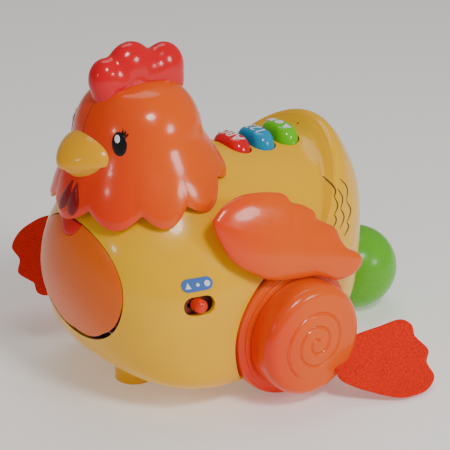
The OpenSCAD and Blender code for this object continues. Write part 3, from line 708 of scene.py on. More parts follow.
def body_half(side, name, stands_for):
    """One half of the body: a walled shell with its wheel well and all its openings."""
    outer = body_ball(0, 19 * 9, 84)
    round_seam(outer)
    bmesh.ops.holes_fill(outer, edges=[e for e in outer.edges if e.is_boundary])
    bmesh.ops.recalc_face_normals(outer, faces=outer.faces)
    skin = to_object(outer, name)
    hollow = carve(
        to_object(body_ball(-WALL, 19 * 4, 40), "hollow"),
        [shape_rod(WELL_X, 120, WELL_R + WALL, AXLE.y, AXLE.z)],
    )
    steps = 144
    hatch = [door_edge(TURN * i / steps, 0.5, 0, -1.8) for i in range(steps)]
    cutters = [
        hollow,
        shape_rod(WELL_X + WALL, 120, WELL_R, AXLE.y, AXLE.z),
        shape_prism(hatch, -150, -60, "Y"),
        shape_prism(circle_points((0, 57), 33, 96), 46, 120, "Y"),
        shape_prism(circle_points((0, -84), 9, 64), 0, 30),
        *(shape_prism(stadium(33, 18.5, (0, y)), 139, 190) for y in BUTTON_Y),
    ]
    low_x, high_x = (-54.5, 14.5) if side > 0 else (-14.5, 54.5)
    cells = [(low_x, -73.5), (high_x, -73.5), (high_x, -28.5), (low_x, -28.5)]
    cutters.append(shape_prism(cells, 0, 28))
    if side > 0:
        cutters.append(shape_prism(stadium(20.4, 12, SWITCH), 60, 100, "X"))
    else:
        for y, z in ((70, 143), (-113, 31), (6, 16.5)):
            cutters.append(shape_rod(18, 100, 3.35, y, z, steps=32))
    carve(skin, cutters)
    if side < 0:
        skin.data.transform(Matrix.Scale(-1, 4, (1, 0, 0)))
        skin.data.flip_normals()
    finish_piece(skin, "body", "yellow", stands_for, 30)
    smooth_body_normals(skin)
    return skin


# ---- Hood ----


def hood_half(side, name, stands_for, sizes):
    """One half of the hood: a bell with a scalloped, rounded lip."""
    around, down = 150, 64
    bm = bmesh.new()
    bmesh.ops.create_grid(bm, x_segments=around, y_segments=down, size=0.5)
    edge = SEAM / 40

    def rule(co):
        a = edge + (co.x + 0.5) * (math.pi - 2 * edge)
        s = 1 - (co.y + 0.5)
        depth = s**1.6 * (CROWN_Z - hood_hem(a, sizes.scallop_depth, sizes.scallops))
        puff = abs(math.cos(a * sizes.scallops)) * ramp(s, 0.7, 0.97)
        r = hood_radius(a, depth) + 1.2 * puff - 1.6 * ramp(s, 0.965, 1.0)
        return (max(r * math.sin(a), SEAM), HOOD_Y - r * math.cos(a), CROWN_Z - depth)

    shape_by(bm, rule)
    bmesh.ops.remove_doubles(bm, verts=bm.verts, dist=2e-6)
    bmesh.ops.recalc_face_normals(bm, faces=bm.faces)
    if side < 0:
        flip_side(bm)
    skin = to_object(bm, name)
    wall = skin.modifiers.new("wall", "SOLIDIFY")
    wall.thickness = WALL * MM
    wall.offset = -1
    lip = skin.modifiers.new("lip", "BEVEL")
    lip.width = 1.1 * MM
    lip.segments = 3
    lip.limit_method = "ANGLE"
    lip.angle_limit = math.radians(50)
    settle(skin)
    return finish_piece(skin, "body", "hood", stands_for, 50)


def hood_seam():
    """Painted shade of the moulding line where the two halves of the hood meet, at the front and at
    the nape: a thin dark line.
    """
    for word, a, low, high in (("front", 0.0, 129.5, 202), ("back", math.pi, 154, 200)):
        spots = []
        for i in range(41):
            z = low + (high - low) * i / 40
            spots.append(hood_place(a, z, -0.12))
        # Painted shade: a thin dark line in the seam gap.
        make_line("hood_seam_" + word, spots, [0.26] * 41, "body", "print_brown")


def comb_piece():
    """Three puffed lobes grown into one crest."""
    lobes = (
        ((-101, 211), (11.5, 14), 10), ((-99, 202), (11, 12), 10), ((-83, 214.5), (17, 18), 10.5),
        ((-58, 210.5), (15, 17.5), 10.5), ((-57, 202), (14, 13), 10.5),
        ((-92, 208), (16, 15), 10.5),
        ((-70, 208.5), (17, 17), 10.5), ((-78, 201), (31, 12), 10.5),
    )
    bm = bmesh.new()
    for (y, z), (ry, rz), thick in lobes:
        place = Matrix.Translation(Vector((0, y, z)) * MM) @ Matrix.Diagonal(
            Vector((thick, ry, rz, 1000)) * MM
        )
        bmesh.ops.create_uvsphere(bm, u_segments=48, v_segments=24, radius=1, matrix=place)
    comb = to_object(bm, "comb_skin")
    grown = comb.modifiers.new("grow", "REMESH")
    grown.mode = "VOXEL"
    grown.voxel_size = 0.9 * MM
    settle(comb)
    soft = comb.modifiers.new("soften", "SMOOTH")
    soft.factor = 0.5
    soft.iterations = 60
    settle(comb)
    return finish_piece(comb, "body", "comb", ("comb",), 80)


def beak_half(upper):
    """Upper or lower half of the beak, meeting on a line that sags towards the tip."""
    middle = Vector((0, -114, 165))
    half = Vector((23.5, 22.5, 15.5)) if upper else Vector((21.6, 20, 16.0))

    def rule(co):
        ahead = max(-co.y, 0)
        x = half.x * co.x * (1 - 0.34 * ahead**1.5)
        y = half.y * co.y
        z = half.z * co.z * (1 - 0.3 * ahead**2) - 2.2 * ahead**2
        mouth = -6.2 + 5.0 * (abs(x) / half.x) ** 2 + 1.2 * ahead
        if upper:
            z = max(z, mouth + 0.15)
        else:
            z = min(z, mouth - 0.15)
        return middle + Vector((x, y, z))

    bm = shape_by(shape_ball(96, 64, "Y"), rule)
    part = "beak_upper" if upper else "beak_lower"
    return make_piece(bm, part + "_skin", "body", "beak", (part,), 34)


def wattle_drops():
    """A pair of flat drops that hang under the beak, against the hood."""
    bm = bmesh.new()
    for side in (-1, 1):
        flat_drop = shape_ball(40, 28, "Z")

        def rule(co):
            lower = ramp(-co.z, -1, 0.6)
            width = 2.0 + 3.6 * lower
            lean = 3.6 + 1.8 * co.z + side * (2.6 + 2.6 * (1 - co.z) / 2)
            z = 141.2 + 10.4 * co.z
            a = (lean + width * co.x) / 52
            r = hood_radius(abs(a), CROWN_Z - z) + 0.5 + 1.5 * -co.y
            return Vector((r * math.sin(a), HOOD_Y - r * math.cos(a), z))

        merge_into(bm, shape_by(flat_drop, rule))
    return make_piece(bm, "wattle_drops", "body", "wattle", ("wattles",), 60)


EYE_ANGLE = math.radians(40.5)
EYE_Z = 178


def on_hood(u, v, out):
    """A place u mm round and v mm up from the left eye's middle, raised off the hood."""
    z = EYE_Z + v
    a = EYE_ANGLE + u / 41
    return hood_place(a, z, out)


def oval_on_hood(side, mid, half, low, high, lean=0.0):
    """A low cushion of an oval lying on the hood."""
    bm = shape_ball(56, 24, "Z")

    def rule(co):
        u, v = half[0] * co.x, half[1] * co.y
        u, v = u * math.cos(lean) - v * math.sin(lean), u * math.sin(lean) + v * math.cos(lean)
        spot = on_hood(mid[0] + u, mid[1] + v, high * co.z if co.z > 0 else low * -co.z)
        spot.x *= side
        return spot

    return shape_by(bm, rule)


def eye_pieces():
    """Dark ovals, a white glint in each and three lashes above."""
    for side, word in ((1, "left"), (-1, "right")):
        stands_for = ("eyes",) if side > 0 else ()
        eye = oval_on_hood(side, (0, 0), (4.8, 7.3), -0.6, 0.7, 0.14)
        make_piece(eye, "eye_" + word, "body", "eye", stands_for, 80)
        glint = oval_on_hood(side, (-1.2, 3.0), (2.1, 2.9), -0.2, 1.05, 0.12)
        make_piece(glint, "eye_glint_" + word, "body", "print_white", (), 80)
        lashes = (
            ((1.6, 6.2), (2.2, 7.9), (1.8, 9.8)),
            ((2.8, 5.6), (3.9, 7.1), (3.9, 9.0)),
            ((3.7, 4.6), (5.1, 5.6), (5.8, 7.2)),
        )
        for number, bends in enumerate(lashes):
            spots = []
            for i in range(9):
                u, v = between(bends, i / 8)
                spot = on_hood(u, v, -0.3)
                spot.x *= side
                spots.append(spot)
            radii = [0.85 * (1 - i / 8) ** 0.7 + 0.1 for i in range(9)]
            make_line(f"lash_{word}_{number + 1}", spots, radii, "body", "eye")


# ---- Hatch, lens and flank ----


def front_y(x, z):
    """Where the chest's surface lies at (x, z)."""
    return body_hit(x, 0, z, 1, -60, -150)


def flank_x(y, z):
    """Where the left flank's surface lies at (y, z)."""
    return body_hit(0, y, z, 0, 2, HALF_WIDTH - 0.01)


def chest_hatch():
    """The orange hatch: a thin pad that follows the chest, with a scalloped lower edge."""
    steps = 192
    bm = shape_ball(steps, 44, "Y")

    def rule(co):
        f = min(1, math.hypot(co.x, co.z))
        a = math.atan2(co.z, co.x)
        edge = door_edge(a, 0, DOOR_LOBE)
        x, z = edge[0] * f, DOOR_Z + (edge[1] - DOOR_Z) * f
        y = front_y(x, z)
        puff = math.sqrt(max(0, 1 - f**9))
        return (x, y - 0.5 * puff if co.y < 0 else y + 0.2 + (WALL - 0.2) * puff, z)

    shape_by(bm, rule)
    hatch = to_object(bm, "hatch_skin")
    angles = [math.pi * (1 + i / 40) for i in range(41)]
    notch = [(LAMP_R * math.cos(a) * 1.01, LAMP_Z + LAMP_R * math.sin(a) * 1.01) for a in angles]
    notch += [(LAMP_R, LAMP_Z + 8), (-LAMP_R, LAMP_Z + 8)]
    carve(hatch, [shape_prism(notch, -150, -90, "Y")])
    return finish_piece(hatch, "door", "hatch", ("chest_door",), 40)


def lamp_lens():
    """Half-round lens set in the top of the hatch."""
    bm = shape_ball(96, 24, "Y")

    def rule(co):
        f = min(1, math.hypot(co.x, co.z))
        a = math.atan2(co.z, co.x)
        x = LAMP_R * 0.985 * f * math.cos(a)
        z = LAMP_Z + LAMP_R * 0.985 * f * math.sin(a)
        top = DOOR_Z + DOOR_HALF[1] * math.sqrt(1 - (x / 46) ** 2) - 0.3
        z = min(z, top)
        y = front_y(x, z)
        puff = math.sqrt(max(0, 1 - f**7))
        return (x, y - 0.35 - 0.5 * puff if co.y < 0 else y + 1.6, z)

    shape_by(bm, rule)
    return make_piece(
        bm, "lamp_lens_skin", "door", "lens", ("chest_lamp_lens",), 40
    )


def flank_pad(outline, mid, low, high, name, paint, stands_for=()):
    """A thin pad lying on the left flank; the outline is (y, z) in mm about mid."""
    bm = shape_prism(outline, 0, 1, "X")
    for i in range(-12, 13, 2):
        cut = (0, (mid[0] + i) * MM, 0)
        bmesh.ops.bisect_plane(bm, geom=everything(bm), plane_co=cut, plane_no=(0, 1, 0))

    def rule(co):
        y, z = co.y / MM, co.z / MM
        x = flank_x(y, z)
        return (x + (high if co.x > 0.5 * MM else low), y, z)

    return make_piece(shape_by(bm, rule), name, "body", paint, stands_for)


def switch_pieces():
    """Mode label with plain marks, the knob, and a dark sheet behind its slot that paints the shade
    inside the slot.
    """
    y, z = SWITCH[0], LABEL_Z
    flank_pad(
        stadium(20, 7.8, (y, z)), (y, z), 0.05, 0.7,
        "mode_label_skin", "print_blue", ("mode_label",),
    )
    marks = (
        circle_points((y + 6.2, z), 1.9), circle_points((y, z), 1.1),
        [(y - 4.4, z - 1.8), (y - 8, z - 1.8), (y - 6.2, z + 2.1)],
    )
    for number, mark in enumerate(marks):
        name = f"mode_mark_{number + 1}"
        flank_pad(mark, (y, z), 0.6, 0.95, name, "print_white")
    knob = [(69.6, 0), (69.6, 3.9), (70.2, 4.5), (75.6, 4.4), (77.4, 3.8), (78.4, 2.4), (78.7, 0)]
    make_piece(
        shape_lathe([(x, max(r, 0.001)) for x, r in knob], 64, (0, SWITCH[0], SWITCH[1])),
        "mode_knob_skin", "knob", "knob", ("mode_knob",), 40,
    )
    # Painted shade: this dark sheet behind the slot darkens the slot's inside.
    tray = to_object(shape_prism(stadium(25, 16, SWITCH), 68.4, 69.4, "X"), "switch_tray")
    carve(tray, [shape_prism(stadium(12.6, 4.4, SWITCH), 60, 80, "X")])
    finish_piece(tray, "body", "tray")


def feather_lines():
    """Dark lines that paint the shade in the cut feather grooves on each side of the tail, each of
    shallow arcs that meet in cusps.
    """
    lines = (
        (
            ((37, 130), (37.6, 124), (34.8, 120.5)),
            ((34.8, 120.5), (35.8, 115), (30.9, 111)),
            ((30.9, 111), (31.6, 107), (27.6, 103.5)),
        ),
        (((40, 124), (42.8, 117.5), (38.5, 112)), ((38.5, 112), (40.8, 106), (34.8, 100.5))),
        (
            ((45.5, 128.5), (51, 121), (47, 114)),
            ((47, 114), (50.5, 107), (43.5, 101.5)),
            ((43.5, 101.5), (44.8, 98), (38.7, 94)),
        ),
    )
    for side, word in ((1, "left"), (-1, "right")):
        for row, arcs in enumerate(lines):
            for number, arc in enumerate(arcs):
                spots = []
                for i in range(13):
                    y, z = between(arc, i / 12)
                    spots.append((side * (flank_x(y, z) - 0.1), y, z))
                radii = [0.28 + 0.32 * math.sin(math.pi * min(1, (i + 1) / 13)) for i in range(13)]
                name = f"feather_line_{word}_{row + 1}{'abc'[number]}"
                # Painted shade: dark lines in the cut feather grooves.
                make_line(name, spots, radii, "body", "print_brown")


# ---- Wings ----

WING_EDGE = (
    (-72, 131), (-69, 136), (-61, 141), (-48, 144), (-35, 143), (-25, 141), (-16, 138), (-11, 132),
    (-2, 128), (5, 123), (8, 117), (20, 109), (24, 100), (28, 94), (36, 89), (39, 83), (32, 77),
    (19, 75.5), (9, 79), (-1, 82.8), (-14, 84.4), (-27, 86.4), (-39, 90), (-53, 99), (-62, 107),
    (-68, 118),
)
WING_MID = Vector((-24, 110))
WING_LEAN = 0.25
WING_X, WING_Z = 74, 130  # where the plane on which the wing lies starts to lean outwards
WING_CROWN = 6.6


def wing_piece(side, name, node, body):
    """A puffed wing on its pin."""
    bm = shape_ball(26 * 8, 48, "X")

    def rule(co):
        f = min(1, math.hypot(co.y, co.z))
        a = (math.atan2(co.z, -co.y) % TURN) / TURN
        spot = WING_MID.lerp(along(WING_EDGE, a * len(WING_EDGE) - 3.2), f)
        plane = WING_X + (WING_Z - spot.y) * WING_LEAN
        puff = math.sqrt(max(0, 1 - f**2.6))
        x = plane + WING_CROWN * puff if co.x > 0 else plane - 0.9 - 0.2 * puff
        return (x, spot.x, spot.y)

    shape_by(bm, rule)
    pin = shape_rod(40, 76, 3, -44, 118, steps=48)
    if side < 0:
        flip_side(bm)
        flip_side(pin)
    merge_into(bm, pin)
    return make_piece(bm, name, body, "wing", (node,), 60)


# ---- Wheels, drums and feet ----


def rounded(x0, r0, x1, r1, bend, steps=6):
    """Quarter turn of a profile from (x0, r0) to (x1, r1); bend 1 leaves along x first."""
    spots = []
    for i in range(steps + 1):
        a = math.pi / 2 * i / steps
        c, s = (math.sin(a), 1 - math.cos(a)) if bend else (1 - math.cos(a), math.sin(a))
        spots.append((x0 + (x1 - x0) * c, r0 + (r1 - r0) * s))
    return spots


def wheel_piece(side, name, node):
    """Rolling flange with a rounded tyre edge and a stepped outer face."""
    profile = [
        (FLANGE_X, 7), (FLANGE_X, 2.1), (FLANGE_X + 13.9, 2.1), (FLANGE_X + 13.9, 36),
        *rounded(81.9, 39.6, 81.1, 40.2, False), *rounded(80.4, 40.4, 79.6, 42.4, False),
        *rounded(79.4, 43.2, 76.2, 45, False), (74, 45), *rounded(70, 45, 68.2, 43.4, True),
        (68.2, 41.2), (79, 41), (79, 7), (FLANGE_X, 7),
    ]
    bm = shape_lathe(profile, 160, AXLE, side)
    return make_piece(bm, name, "drive", "wheel", (node,), 32)


def spiral_depth(r, angle, deepest):
    """How far the spiral groove sinks the face at radius r and angle, in mm."""
    start, turns, r_out, r_in = math.radians(250), 2.55, 25.5, 2.0
    depth = 0.0
    base = (start - angle) % TURN
    for k in range(4):
        swept = base + k * TURN
        if swept > turns * TURN:
            continue
        f = swept / (turns * TURN)
        track = r_out + (r_in - r_out) * f**0.92
        fade = min(1, swept / 0.35, (turns * TURN - swept) / 0.25)
        depth = max(depth, fade * math.exp(-(((r - track) / 0.8) ** 2)))
    return deepest * depth


def drum_piece(side, name, node, deepest):
    """Drum with a soft rim and a real spiral groove in its domed face."""
    edge, end = 7.0, DRUM_X + DRUM_W
    rings, face_r = 74, 30.5
    radii = [face_r * i / rings for i in range(rings - 1, -1, -1)]
    face = [(end + 2 * (1 - (r / face_r) ** 2), max(r, 0.001)) for r in radii]
    profile = [
        (DRUM_X, 30), (DRUM_X, 36.5), (DRUM_X + 0.6, 37.3), (DRUM_X + 2, 37.5), (end - edge, 37.5),
        *rounded(end - edge, 37.5, end, 37.5 - edge, True, 10)[1:], *face,
    ]
    bm = shape_lathe(profile, 300, AXLE)
    for v in bm.verts:
        x, y, z = (v.co - AXLE * MM) / MM
        r = math.hypot(y, z)
        if x > end - 0.3 and r < 29:
            v.co.x -= spiral_depth(r, math.atan2(z, y), deepest) * MM
    if side < 0:
        flip_side(bm)
    return make_piece(bm, name, "drive", "drum", (node,), 50)


# Plan of a foot, (x beyond the flange, y behind the axle) in mm
TOES = (
    (10, 26), (8.6, 44), (8.5, 64), (8.6, 82), (13, 89), (18.5, 87), (21, 88), (28.5, 91), (35, 84),
    (45, 82), (52, 70), (53, 58), (50.5, 47), (40, 31), (33, 21), (26, 15), (14, 18),
)
FOOT_IN, FOOT_W, FOOT_CURL, FOOT_FLOOR, FELT = 8.5, 54, 30.5, 1.5, 3.0


def foot_piece(side, name, node, turned):
    """Curled die-cut foot of thick felt, its toes cut in scallops."""
    bm = shape_ball(17 * 12, 40, "Z")
    mid = Vector((29, 57))

    def rule(co):
        f = min(1, math.hypot(co.x, co.y))
        a = (math.atan2(co.y, co.x) % TURN) / TURN
        edge = along(TOES, (-a * len(TOES) - 5.6) % len(TOES))
        spot = mid.lerp(edge, f**0.85)
        inward = max(0, (FOOT_W - spot.x) / (FOOT_W - FOOT_IN))
        bend = inward**1.5
        slope = 1.5 * FOOT_CURL / (FOOT_W - FOOT_IN) * inward**0.5
        puff = math.sqrt(max(0, 1 - f**16)) * FELT / 2
        lift = puff * (1 if co.z > 0 else -1)
        lean = math.atan(slope)
        return (
            DRUM_X + spot.x + lift * math.sin(lean), AXLE.y + spot.y,
            FOOT_FLOOR + FELT / 2 + FOOT_CURL * bend + lift * math.cos(lean),
        )

    shape_by(bm, rule)
    if side < 0:
        flip_side(bm)
        turn = Matrix.Rotation(turned, 3, "X")
        bmesh.ops.rotate(bm, verts=bm.verts, cent=AXLE * MM, matrix=turn)
    return make_piece(bm, name, "drive", "felt", (node,), 50)


# ---- Keys and ball ----


KEY_LENGTH, KEY_WIDTH = 32, 17.5
KEY_FOOT, KEY_RIM = 136.5, 139  # heights of a key's underside and of its widest part
KEY_DOME_R, KEY_DOME_Z = 60, 95  # radius and middle height of the ball that its top is part of


def key_top(x, y_off):
    """Height of a key's domed top, in mm."""
    rho2 = x * x + y_off * y_off
    return KEY_DOME_Z + math.sqrt(max(KEY_DOME_R * KEY_DOME_R - rho2, 0))


def key_piece(y, body, name, node, paint):
    """An oval key with a domed top and a flat underside."""
    bm = shape_ball(112, 60, "Z")

    def rule(co):
        f = math.hypot(co.x, co.y)
        a = math.atan2(co.y, co.x)
        r = KEY_WIDTH / 2
        straight = KEY_LENGTH / 2 - r
        c, s = abs(math.cos(a)), abs(math.sin(a))
        if s > 1e-6 and r * c / s < straight:
            reach = r / s
        else:
            reach = straight * c + math.sqrt(max(r * r - (straight * s) ** 2, 0))
        plan = min(1, f) ** 0.8
        x, dy = reach * plan * math.cos(a), reach * plan * math.sin(a)
        round_off = max(0, 1 - plan**5) ** 0.42
        if co.z >= 0:
            z = KEY_RIM + (key_top(x, dy) - KEY_RIM) * round_off
        else:
            z = KEY_FOOT
        return (x, y + dy, z)

    return make_piece(shape_by(bm, rule), name, body, paint, (node,), 50)


def print_on_key(name, body, y, build):
    """Raised white print on a key; build makes its plan about the key's middle."""
    bm = build()
    for v in bm.verts:
        x, dy = v.co.x / MM, v.co.y / MM
        top = v.co.z > 0.0005
        v.co = Vector((x, y + dy, key_top(x, dy) + (0.18 if top else -0.4))) * MM
    return make_piece(bm, name, body, "print_white", (), 30)


def letters(word, size, spread):
    """Letters as a flat prism 1 mm thick, read from behind the hen."""

    def build():
        text = bpy.data.curves.new("letters", "FONT")
        text.body = word
        text.size = size * MM
        text.align_x = "CENTER"
        text.align_y = "CENTER"
        text.extrude = 0.5 * MM
        text.offset = 0.03 * MM
        text.space_character = spread
        holder = bpy.data.objects.new("letters", text)
        bpy.context.scene.collection.objects.link(holder)
        shapes = bpy.context.evaluated_depsgraph_get()
        mesh = bpy.data.meshes.new_from_object(holder.evaluated_get(shapes))
        bpy.data.objects.remove(holder)
        bm = bmesh.new()
        bm.from_mesh(mesh)
        bpy.data.meshes.remove(mesh)
        bmesh.ops.translate(bm, verts=bm.verts, vec=(0, 0, 0.5 * MM))
        half_turn = Matrix.Rotation(math.pi, 3, "Z")
        bmesh.ops.rotate(bm, verts=bm.verts, cent=(0, 0, 0), matrix=half_turn)
        return bm

    return build


def simple_shapes():
    """A row of plain shapes: triangle, disc and square."""
    bm = bmesh.new()
    angles = [TURN * (i / 3 - 0.25) for i in range(3)]
    outlines = (
        [(8 + 3.4 * math.cos(a), 3.4 * math.sin(a)) for a in angles],
        circle_points((0, 0), 3.1, 32),
        [(-11, -2.8), (-5.4, -2.8), (-5.4, 2.8), (-11, 2.8)],
    )
    for outline in outlines:
        merge_into(bm, shape_prism(outline, 0, 1))
    return bm


BALL_R = 30
BALL_MID = Vector((0, 108, BALL_R))


def ball_piece():
    """Play ball with the fine moulding line of its two halves."""
    bm = shape_ball(160, 96, "Z")

    def rule(co):
        r = BALL_R - 0.25 * math.exp(-((co.z * BALL_R / 0.35) ** 2)) - 0.05
        return BALL_MID + co * r

    return make_piece(shape_by(bm, rule), "ball_skin", "ball", "ball", ("ball",), 60)


# ---- Inner parts ----

INNER_FINISH = {
    "steel": (
        "door_hinge_pin", "drive_axle", "idler_shaft", "motor", "contact_springs", "contact_plates",
        "cover_screw", "case_screws", "wing_screw_left", "wing_screw_right", "springs_red",
        "springs_blue", "springs_green",
    ),
    "brass": ("motor_pinion",),
    "acetal": ("axle_bushes", "final_gear", "idler_gear"),
    "dark": ("gearbox_left", "gearbox_right", "battery_box", "switch_body", "speaker"),
    "board": ("circuit_board", "key_board"),
    "cell": ("cells",),
    "lamp": ("chest_led",),
    "yellow": ("battery_cover", "front_skid", "ball_chute"),
}


def finish_inner_parts():
    """Gives the nodes that show as they are their finishes."""
    for paint, nodes in INNER_FINISH.items():
        for node in nodes:
            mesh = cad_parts[node].data
            mesh.materials.clear()
            mesh.materials.append(PAINTS[paint])


# ---- Stage ----


def add_softbox(name, place, size, power, target):
    """An oval soft light at place, turned to target."""
    lamp = bpy.data.lights.new(name, "AREA")
    lamp.shape = "ELLIPSE"
    lamp.size, lamp.size_y = size
    lamp.energy = power
    obj = bpy.data.objects.new(name, lamp)
    bpy.context.scene.collection.objects.link(obj)
    obj.location = place
    obj.rotation_euler = (target - obj.location).to_track_quat("-Z", "Y").to_euler()


VIEW_TURN, VIEW_RISE = math.radians(54), math.radians(23)
VIEW_REACH = 1.15
VIEW_TARGET = Vector((0, -0.019, 0.090))


def build_stage():
    """Pale floor, camera, studio glow and four soft lights."""
    floor_bm = bmesh.new()
    bmesh.ops.create_grid(floor_bm, x_segments=8, y_segments=8, size=4)
    bmesh.ops.translate(floor_bm, verts=floor_bm.verts, vec=(0, 0, CAD_BOX[0].z - 0.0001))
    floor = to_object(floor_bm, "studio_floor")
    floor.data.materials.append(PAINTS["paper"])
    a, e, target = VIEW_TURN, VIEW_RISE, VIEW_TARGET
    back = Vector((math.sin(a) * math.cos(e), -math.cos(a) * math.cos(e), math.sin(e)))
    lens = bpy.data.cameras.new("camera")
    lens.lens = 137.3
    lens.sensor_width = 36
    lens.shift_x, lens.shift_y = 0.0267, 0.010
    camera = bpy.data.objects.new("camera", lens)
    bpy.context.scene.collection.objects.link(camera)
    camera.location = target + back * VIEW_REACH
    camera.rotation_mode = "QUATERNION"
    camera.rotation_quaternion = (-back).to_track_quat("-Z", "Y")
    bpy.context.scene.camera = camera
    world = bpy.data.worlds.new("studio")
    world.use_nodes = True
    glow = world.node_tree.nodes["Background"]
    glow.inputs["Color"].default_value = (1.0, 0.985, 0.96, 1)
    glow.inputs["Strength"].default_value = 0.26
    bpy.context.scene.world = world
    right = Vector((math.cos(a), math.sin(a), 0))
    away = Vector((back.x, back.y, 0)).normalized()
    up = Vector((0, 0, 1))
    lights = (
        ("key_light", away * 0.75 + right * 0.45 + up * 0.95, (0.3, 0.3), 7.5),
        ("wing_light", Vector((1.05, 0.52, 0.42)), (0.3, 0.26), 3.6),
        ("front_light", away * 0.9 - right * 0.8 + up * 0.5, (0.12, 0.12), 0.8),
        ("top_light", up * 1.4 - away * 0.5, (1.0, 0.8), 4.5),
    )
    for name, offset, size, power in lights:
        add_softbox(name, target + offset, size, power, target)


# ---- Add-on ----


class HenSizes(bpy.types.PropertyGroup):
    scallop_depth: FloatProperty(
        name="Scallop depth", description="Depth of the hood's scallops in mm",
        default=9.0, min=4, max=12,
    )
    scallops: IntProperty(
        name="Scallops", description="Scallops on each side of the hood", default=5, min=3, max=6
    )
    spiral_depth: FloatProperty(
        name="Spiral depth", description="Depth of the drums' groove in mm",
        default=1.2, min=0.2, max=1.2,
    )
    foot_phase: FloatProperty(
        name="Foot phase", description="Turn of the right foot from the left",
        default=math.radians(200), subtype="ANGLE", unit="ROTATION",
    )


def tone_property(name, what, default):
    return FloatVectorProperty(
        name=name, description="Colour of " + what, default=default,
        size=3, min=0, max=1, subtype="COLOR",
    )


class HenTones(bpy.types.PropertyGroup):
    yellow: tone_property("Yellow", "the body", (0.95, 0.5, 0.001))
    orange: tone_property("Orange", "the hood, wings and drums", (0.9, 0.115, 0.001))
    # Red orange is the painted shade that the hood, wings, wheels and drums deepen to; the knob
    # takes it as its colour.
    red_orange: tone_property("Red orange", "the deep orange parts", (0.9, 0.032, 0.001))
    patch: tone_property("Hatch", "the chest hatch", (0.86, 0.135, 0.001))
    comb: tone_property("Comb", "the comb", (0.76, 0.002, 0.012))
    beak: tone_property("Beak", "the beak", (0.92, 0.42, 0.001))
    wattle: tone_property("Wattles", "the wattles", (0.24, 0.004, 0.008))
    red_key: tone_property("Red key", "the first key", (0.76, 0.002, 0.012))
    blue_key: tone_property("Blue key", "the second key", (0.008, 0.3, 0.56))
    green_key: tone_property("Green key", "the third key", (0.14, 0.6, 0.002))
    ball: tone_property("Ball", "the play ball", (0.13, 0.5, 0.02))
    felt: tone_property("Felt", "the feet", (0.82, 0.018, 0.002))


class HEN_OT_body(bpy.types.Operator):
    """Adds both halves of the body and dark lines on them that paint the shade of the tail's
    feather grooves
    """

    bl_idname = "toy_hen.body"
    bl_label = "Body"

    def execute(self, context):
        body_half(1, "shell_left_skin", ("body_shell_left",))
        body_half(-1, "shell_right_skin", ("body_shell_right",))
        feather_lines()
        return {"FINISHED"}


class HEN_OT_head(bpy.types.Operator):
    """Adds the hood, comb, beak, wattles and eyes"""

    bl_idname = "toy_hen.head"
    bl_label = "Head"

    def execute(self, context):
        sizes = context.scene.hen_sizes
        hood_half(1, "hood_left_skin", ("hood_shell_left",), sizes)
        hood_half(-1, "hood_right_skin", ("hood_shell_right",), sizes)
        hood_seam()
        comb_piece()
        beak_half(True)
        beak_half(False)
        wattle_drops()
        eye_pieces()
        return {"FINISHED"}


class HEN_OT_chest(bpy.types.Operator):
    """Adds the chest hatch, its lens, and the mode switch on the flank"""

    bl_idname = "toy_hen.chest"
    bl_label = "Hatch and switch"

    def execute(self, context):
        chest_hatch()
        lamp_lens()
        switch_pieces()
        return {"FINISHED"}


class HEN_OT_wings(bpy.types.Operator):
    """Adds both wings"""

    bl_idname = "toy_hen.wings"
    bl_label = "Wings"

    def execute(self, context):
        wing_piece(1, "wing_left_skin", "wing_left", "left_wing")
        wing_piece(-1, "wing_right_skin", "wing_right", "right_wing")
        return {"FINISHED"}


class HEN_OT_running_gear(bpy.types.Operator):
    """Adds wheels, spiral drums and felt feet"""

    bl_idname = "toy_hen.running_gear"
    bl_label = "Wheels and feet"

    def execute(self, context):
        sizes = context.scene.hen_sizes
        for side, word in ((1, "left"), (-1, "right")):
            wheel_piece(side, f"wheel_{word}_skin", f"wheel_{word}")
            drum_piece(side, f"drum_{word}_skin", f"drum_{word}", sizes.spiral_depth)
            foot_piece(side, f"foot_{word}_felt", f"foot_{word}", sizes.foot_phase)
        return {"FINISHED"}


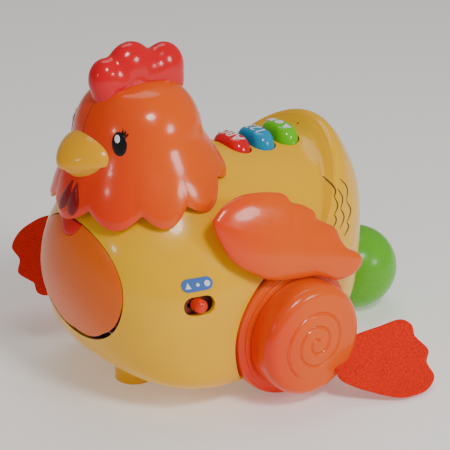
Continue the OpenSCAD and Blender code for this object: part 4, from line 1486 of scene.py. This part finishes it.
class HEN_OT_keys(bpy.types.Operator):
    """Adds the three keys with their print, and the play ball"""

    bl_idname = "toy_hen.keys"
    bl_label = "Keys and ball"

    def execute(self, context):
        keys = (("red", "comb_plastic"), ("blue", "blue_plastic"), ("green", "green_plastic"))
        prints = (letters("ABC", 11.0, 1.0), letters("123", 11.0, 1.05), simple_shapes)
        for (word, slot), y, build in zip(keys, BUTTON_Y, prints):
            key_piece(y, word + "_key", word + "_key_skin", "button_" + word, word + "_key")
            print_on_key(word + "_key_print", word + "_key", y, build)
        ball_piece()
        return {"FINISHED"}


class HEN_OT_inside(bpy.types.Operator):
    """Gives the drive, the batteries and the electronics their finishes"""

    bl_idname = "toy_hen.inside"
    bl_label = "Inner parts"

    def execute(self, context):
        finish_inner_parts()
        return {"FINISHED"}


class HEN_OT_stage(bpy.types.Operator):
    """Adds the floor, the soft lights and the camera"""

    bl_idname = "toy_hen.stage"
    bl_label = "Stage"

    def execute(self, context):
        build_stage()
        return {"FINISHED"}


OPERATORS = (
    HEN_OT_body, HEN_OT_head, HEN_OT_chest, HEN_OT_wings, HEN_OT_running_gear, HEN_OT_keys,
    HEN_OT_inside, HEN_OT_stage,
)


class HEN_PT_panel(bpy.types.Panel):
    """Lists the hen's sizes, colours and pieces"""

    bl_idname = "HEN_PT_panel"
    bl_label = "Toy Hen"
    bl_space_type = "VIEW_3D"
    bl_region_type = "UI"
    bl_category = "Toy Hen"

    def draw(self, context):
        for group in (context.scene.hen_sizes, context.scene.hen_tones):
            for name in group.__annotations__:
                self.layout.prop(group, name)
        for operator in OPERATORS:
            self.layout.operator(operator.bl_idname)


CLASSES = (HenSizes, HenTones, *OPERATORS, HEN_PT_panel)


def register():
    for cls in CLASSES:
        bpy.utils.register_class(cls)
    bpy.types.Scene.hen_sizes = PointerProperty(type=HenSizes)
    bpy.types.Scene.hen_tones = PointerProperty(type=HenTones)


def unregister():
    del bpy.types.Scene.hen_tones
    del bpy.types.Scene.hen_sizes
    for cls in reversed(CLASSES):
        bpy.utils.unregister_class(cls)


def main():
    register()
    mix_paints(bpy.context.scene.hen_tones)
    for operator in OPERATORS:
        group, name = operator.bl_idname.split(".")
        getattr(getattr(bpy.ops, group), name)()


if __name__ == "__main__":
    main()
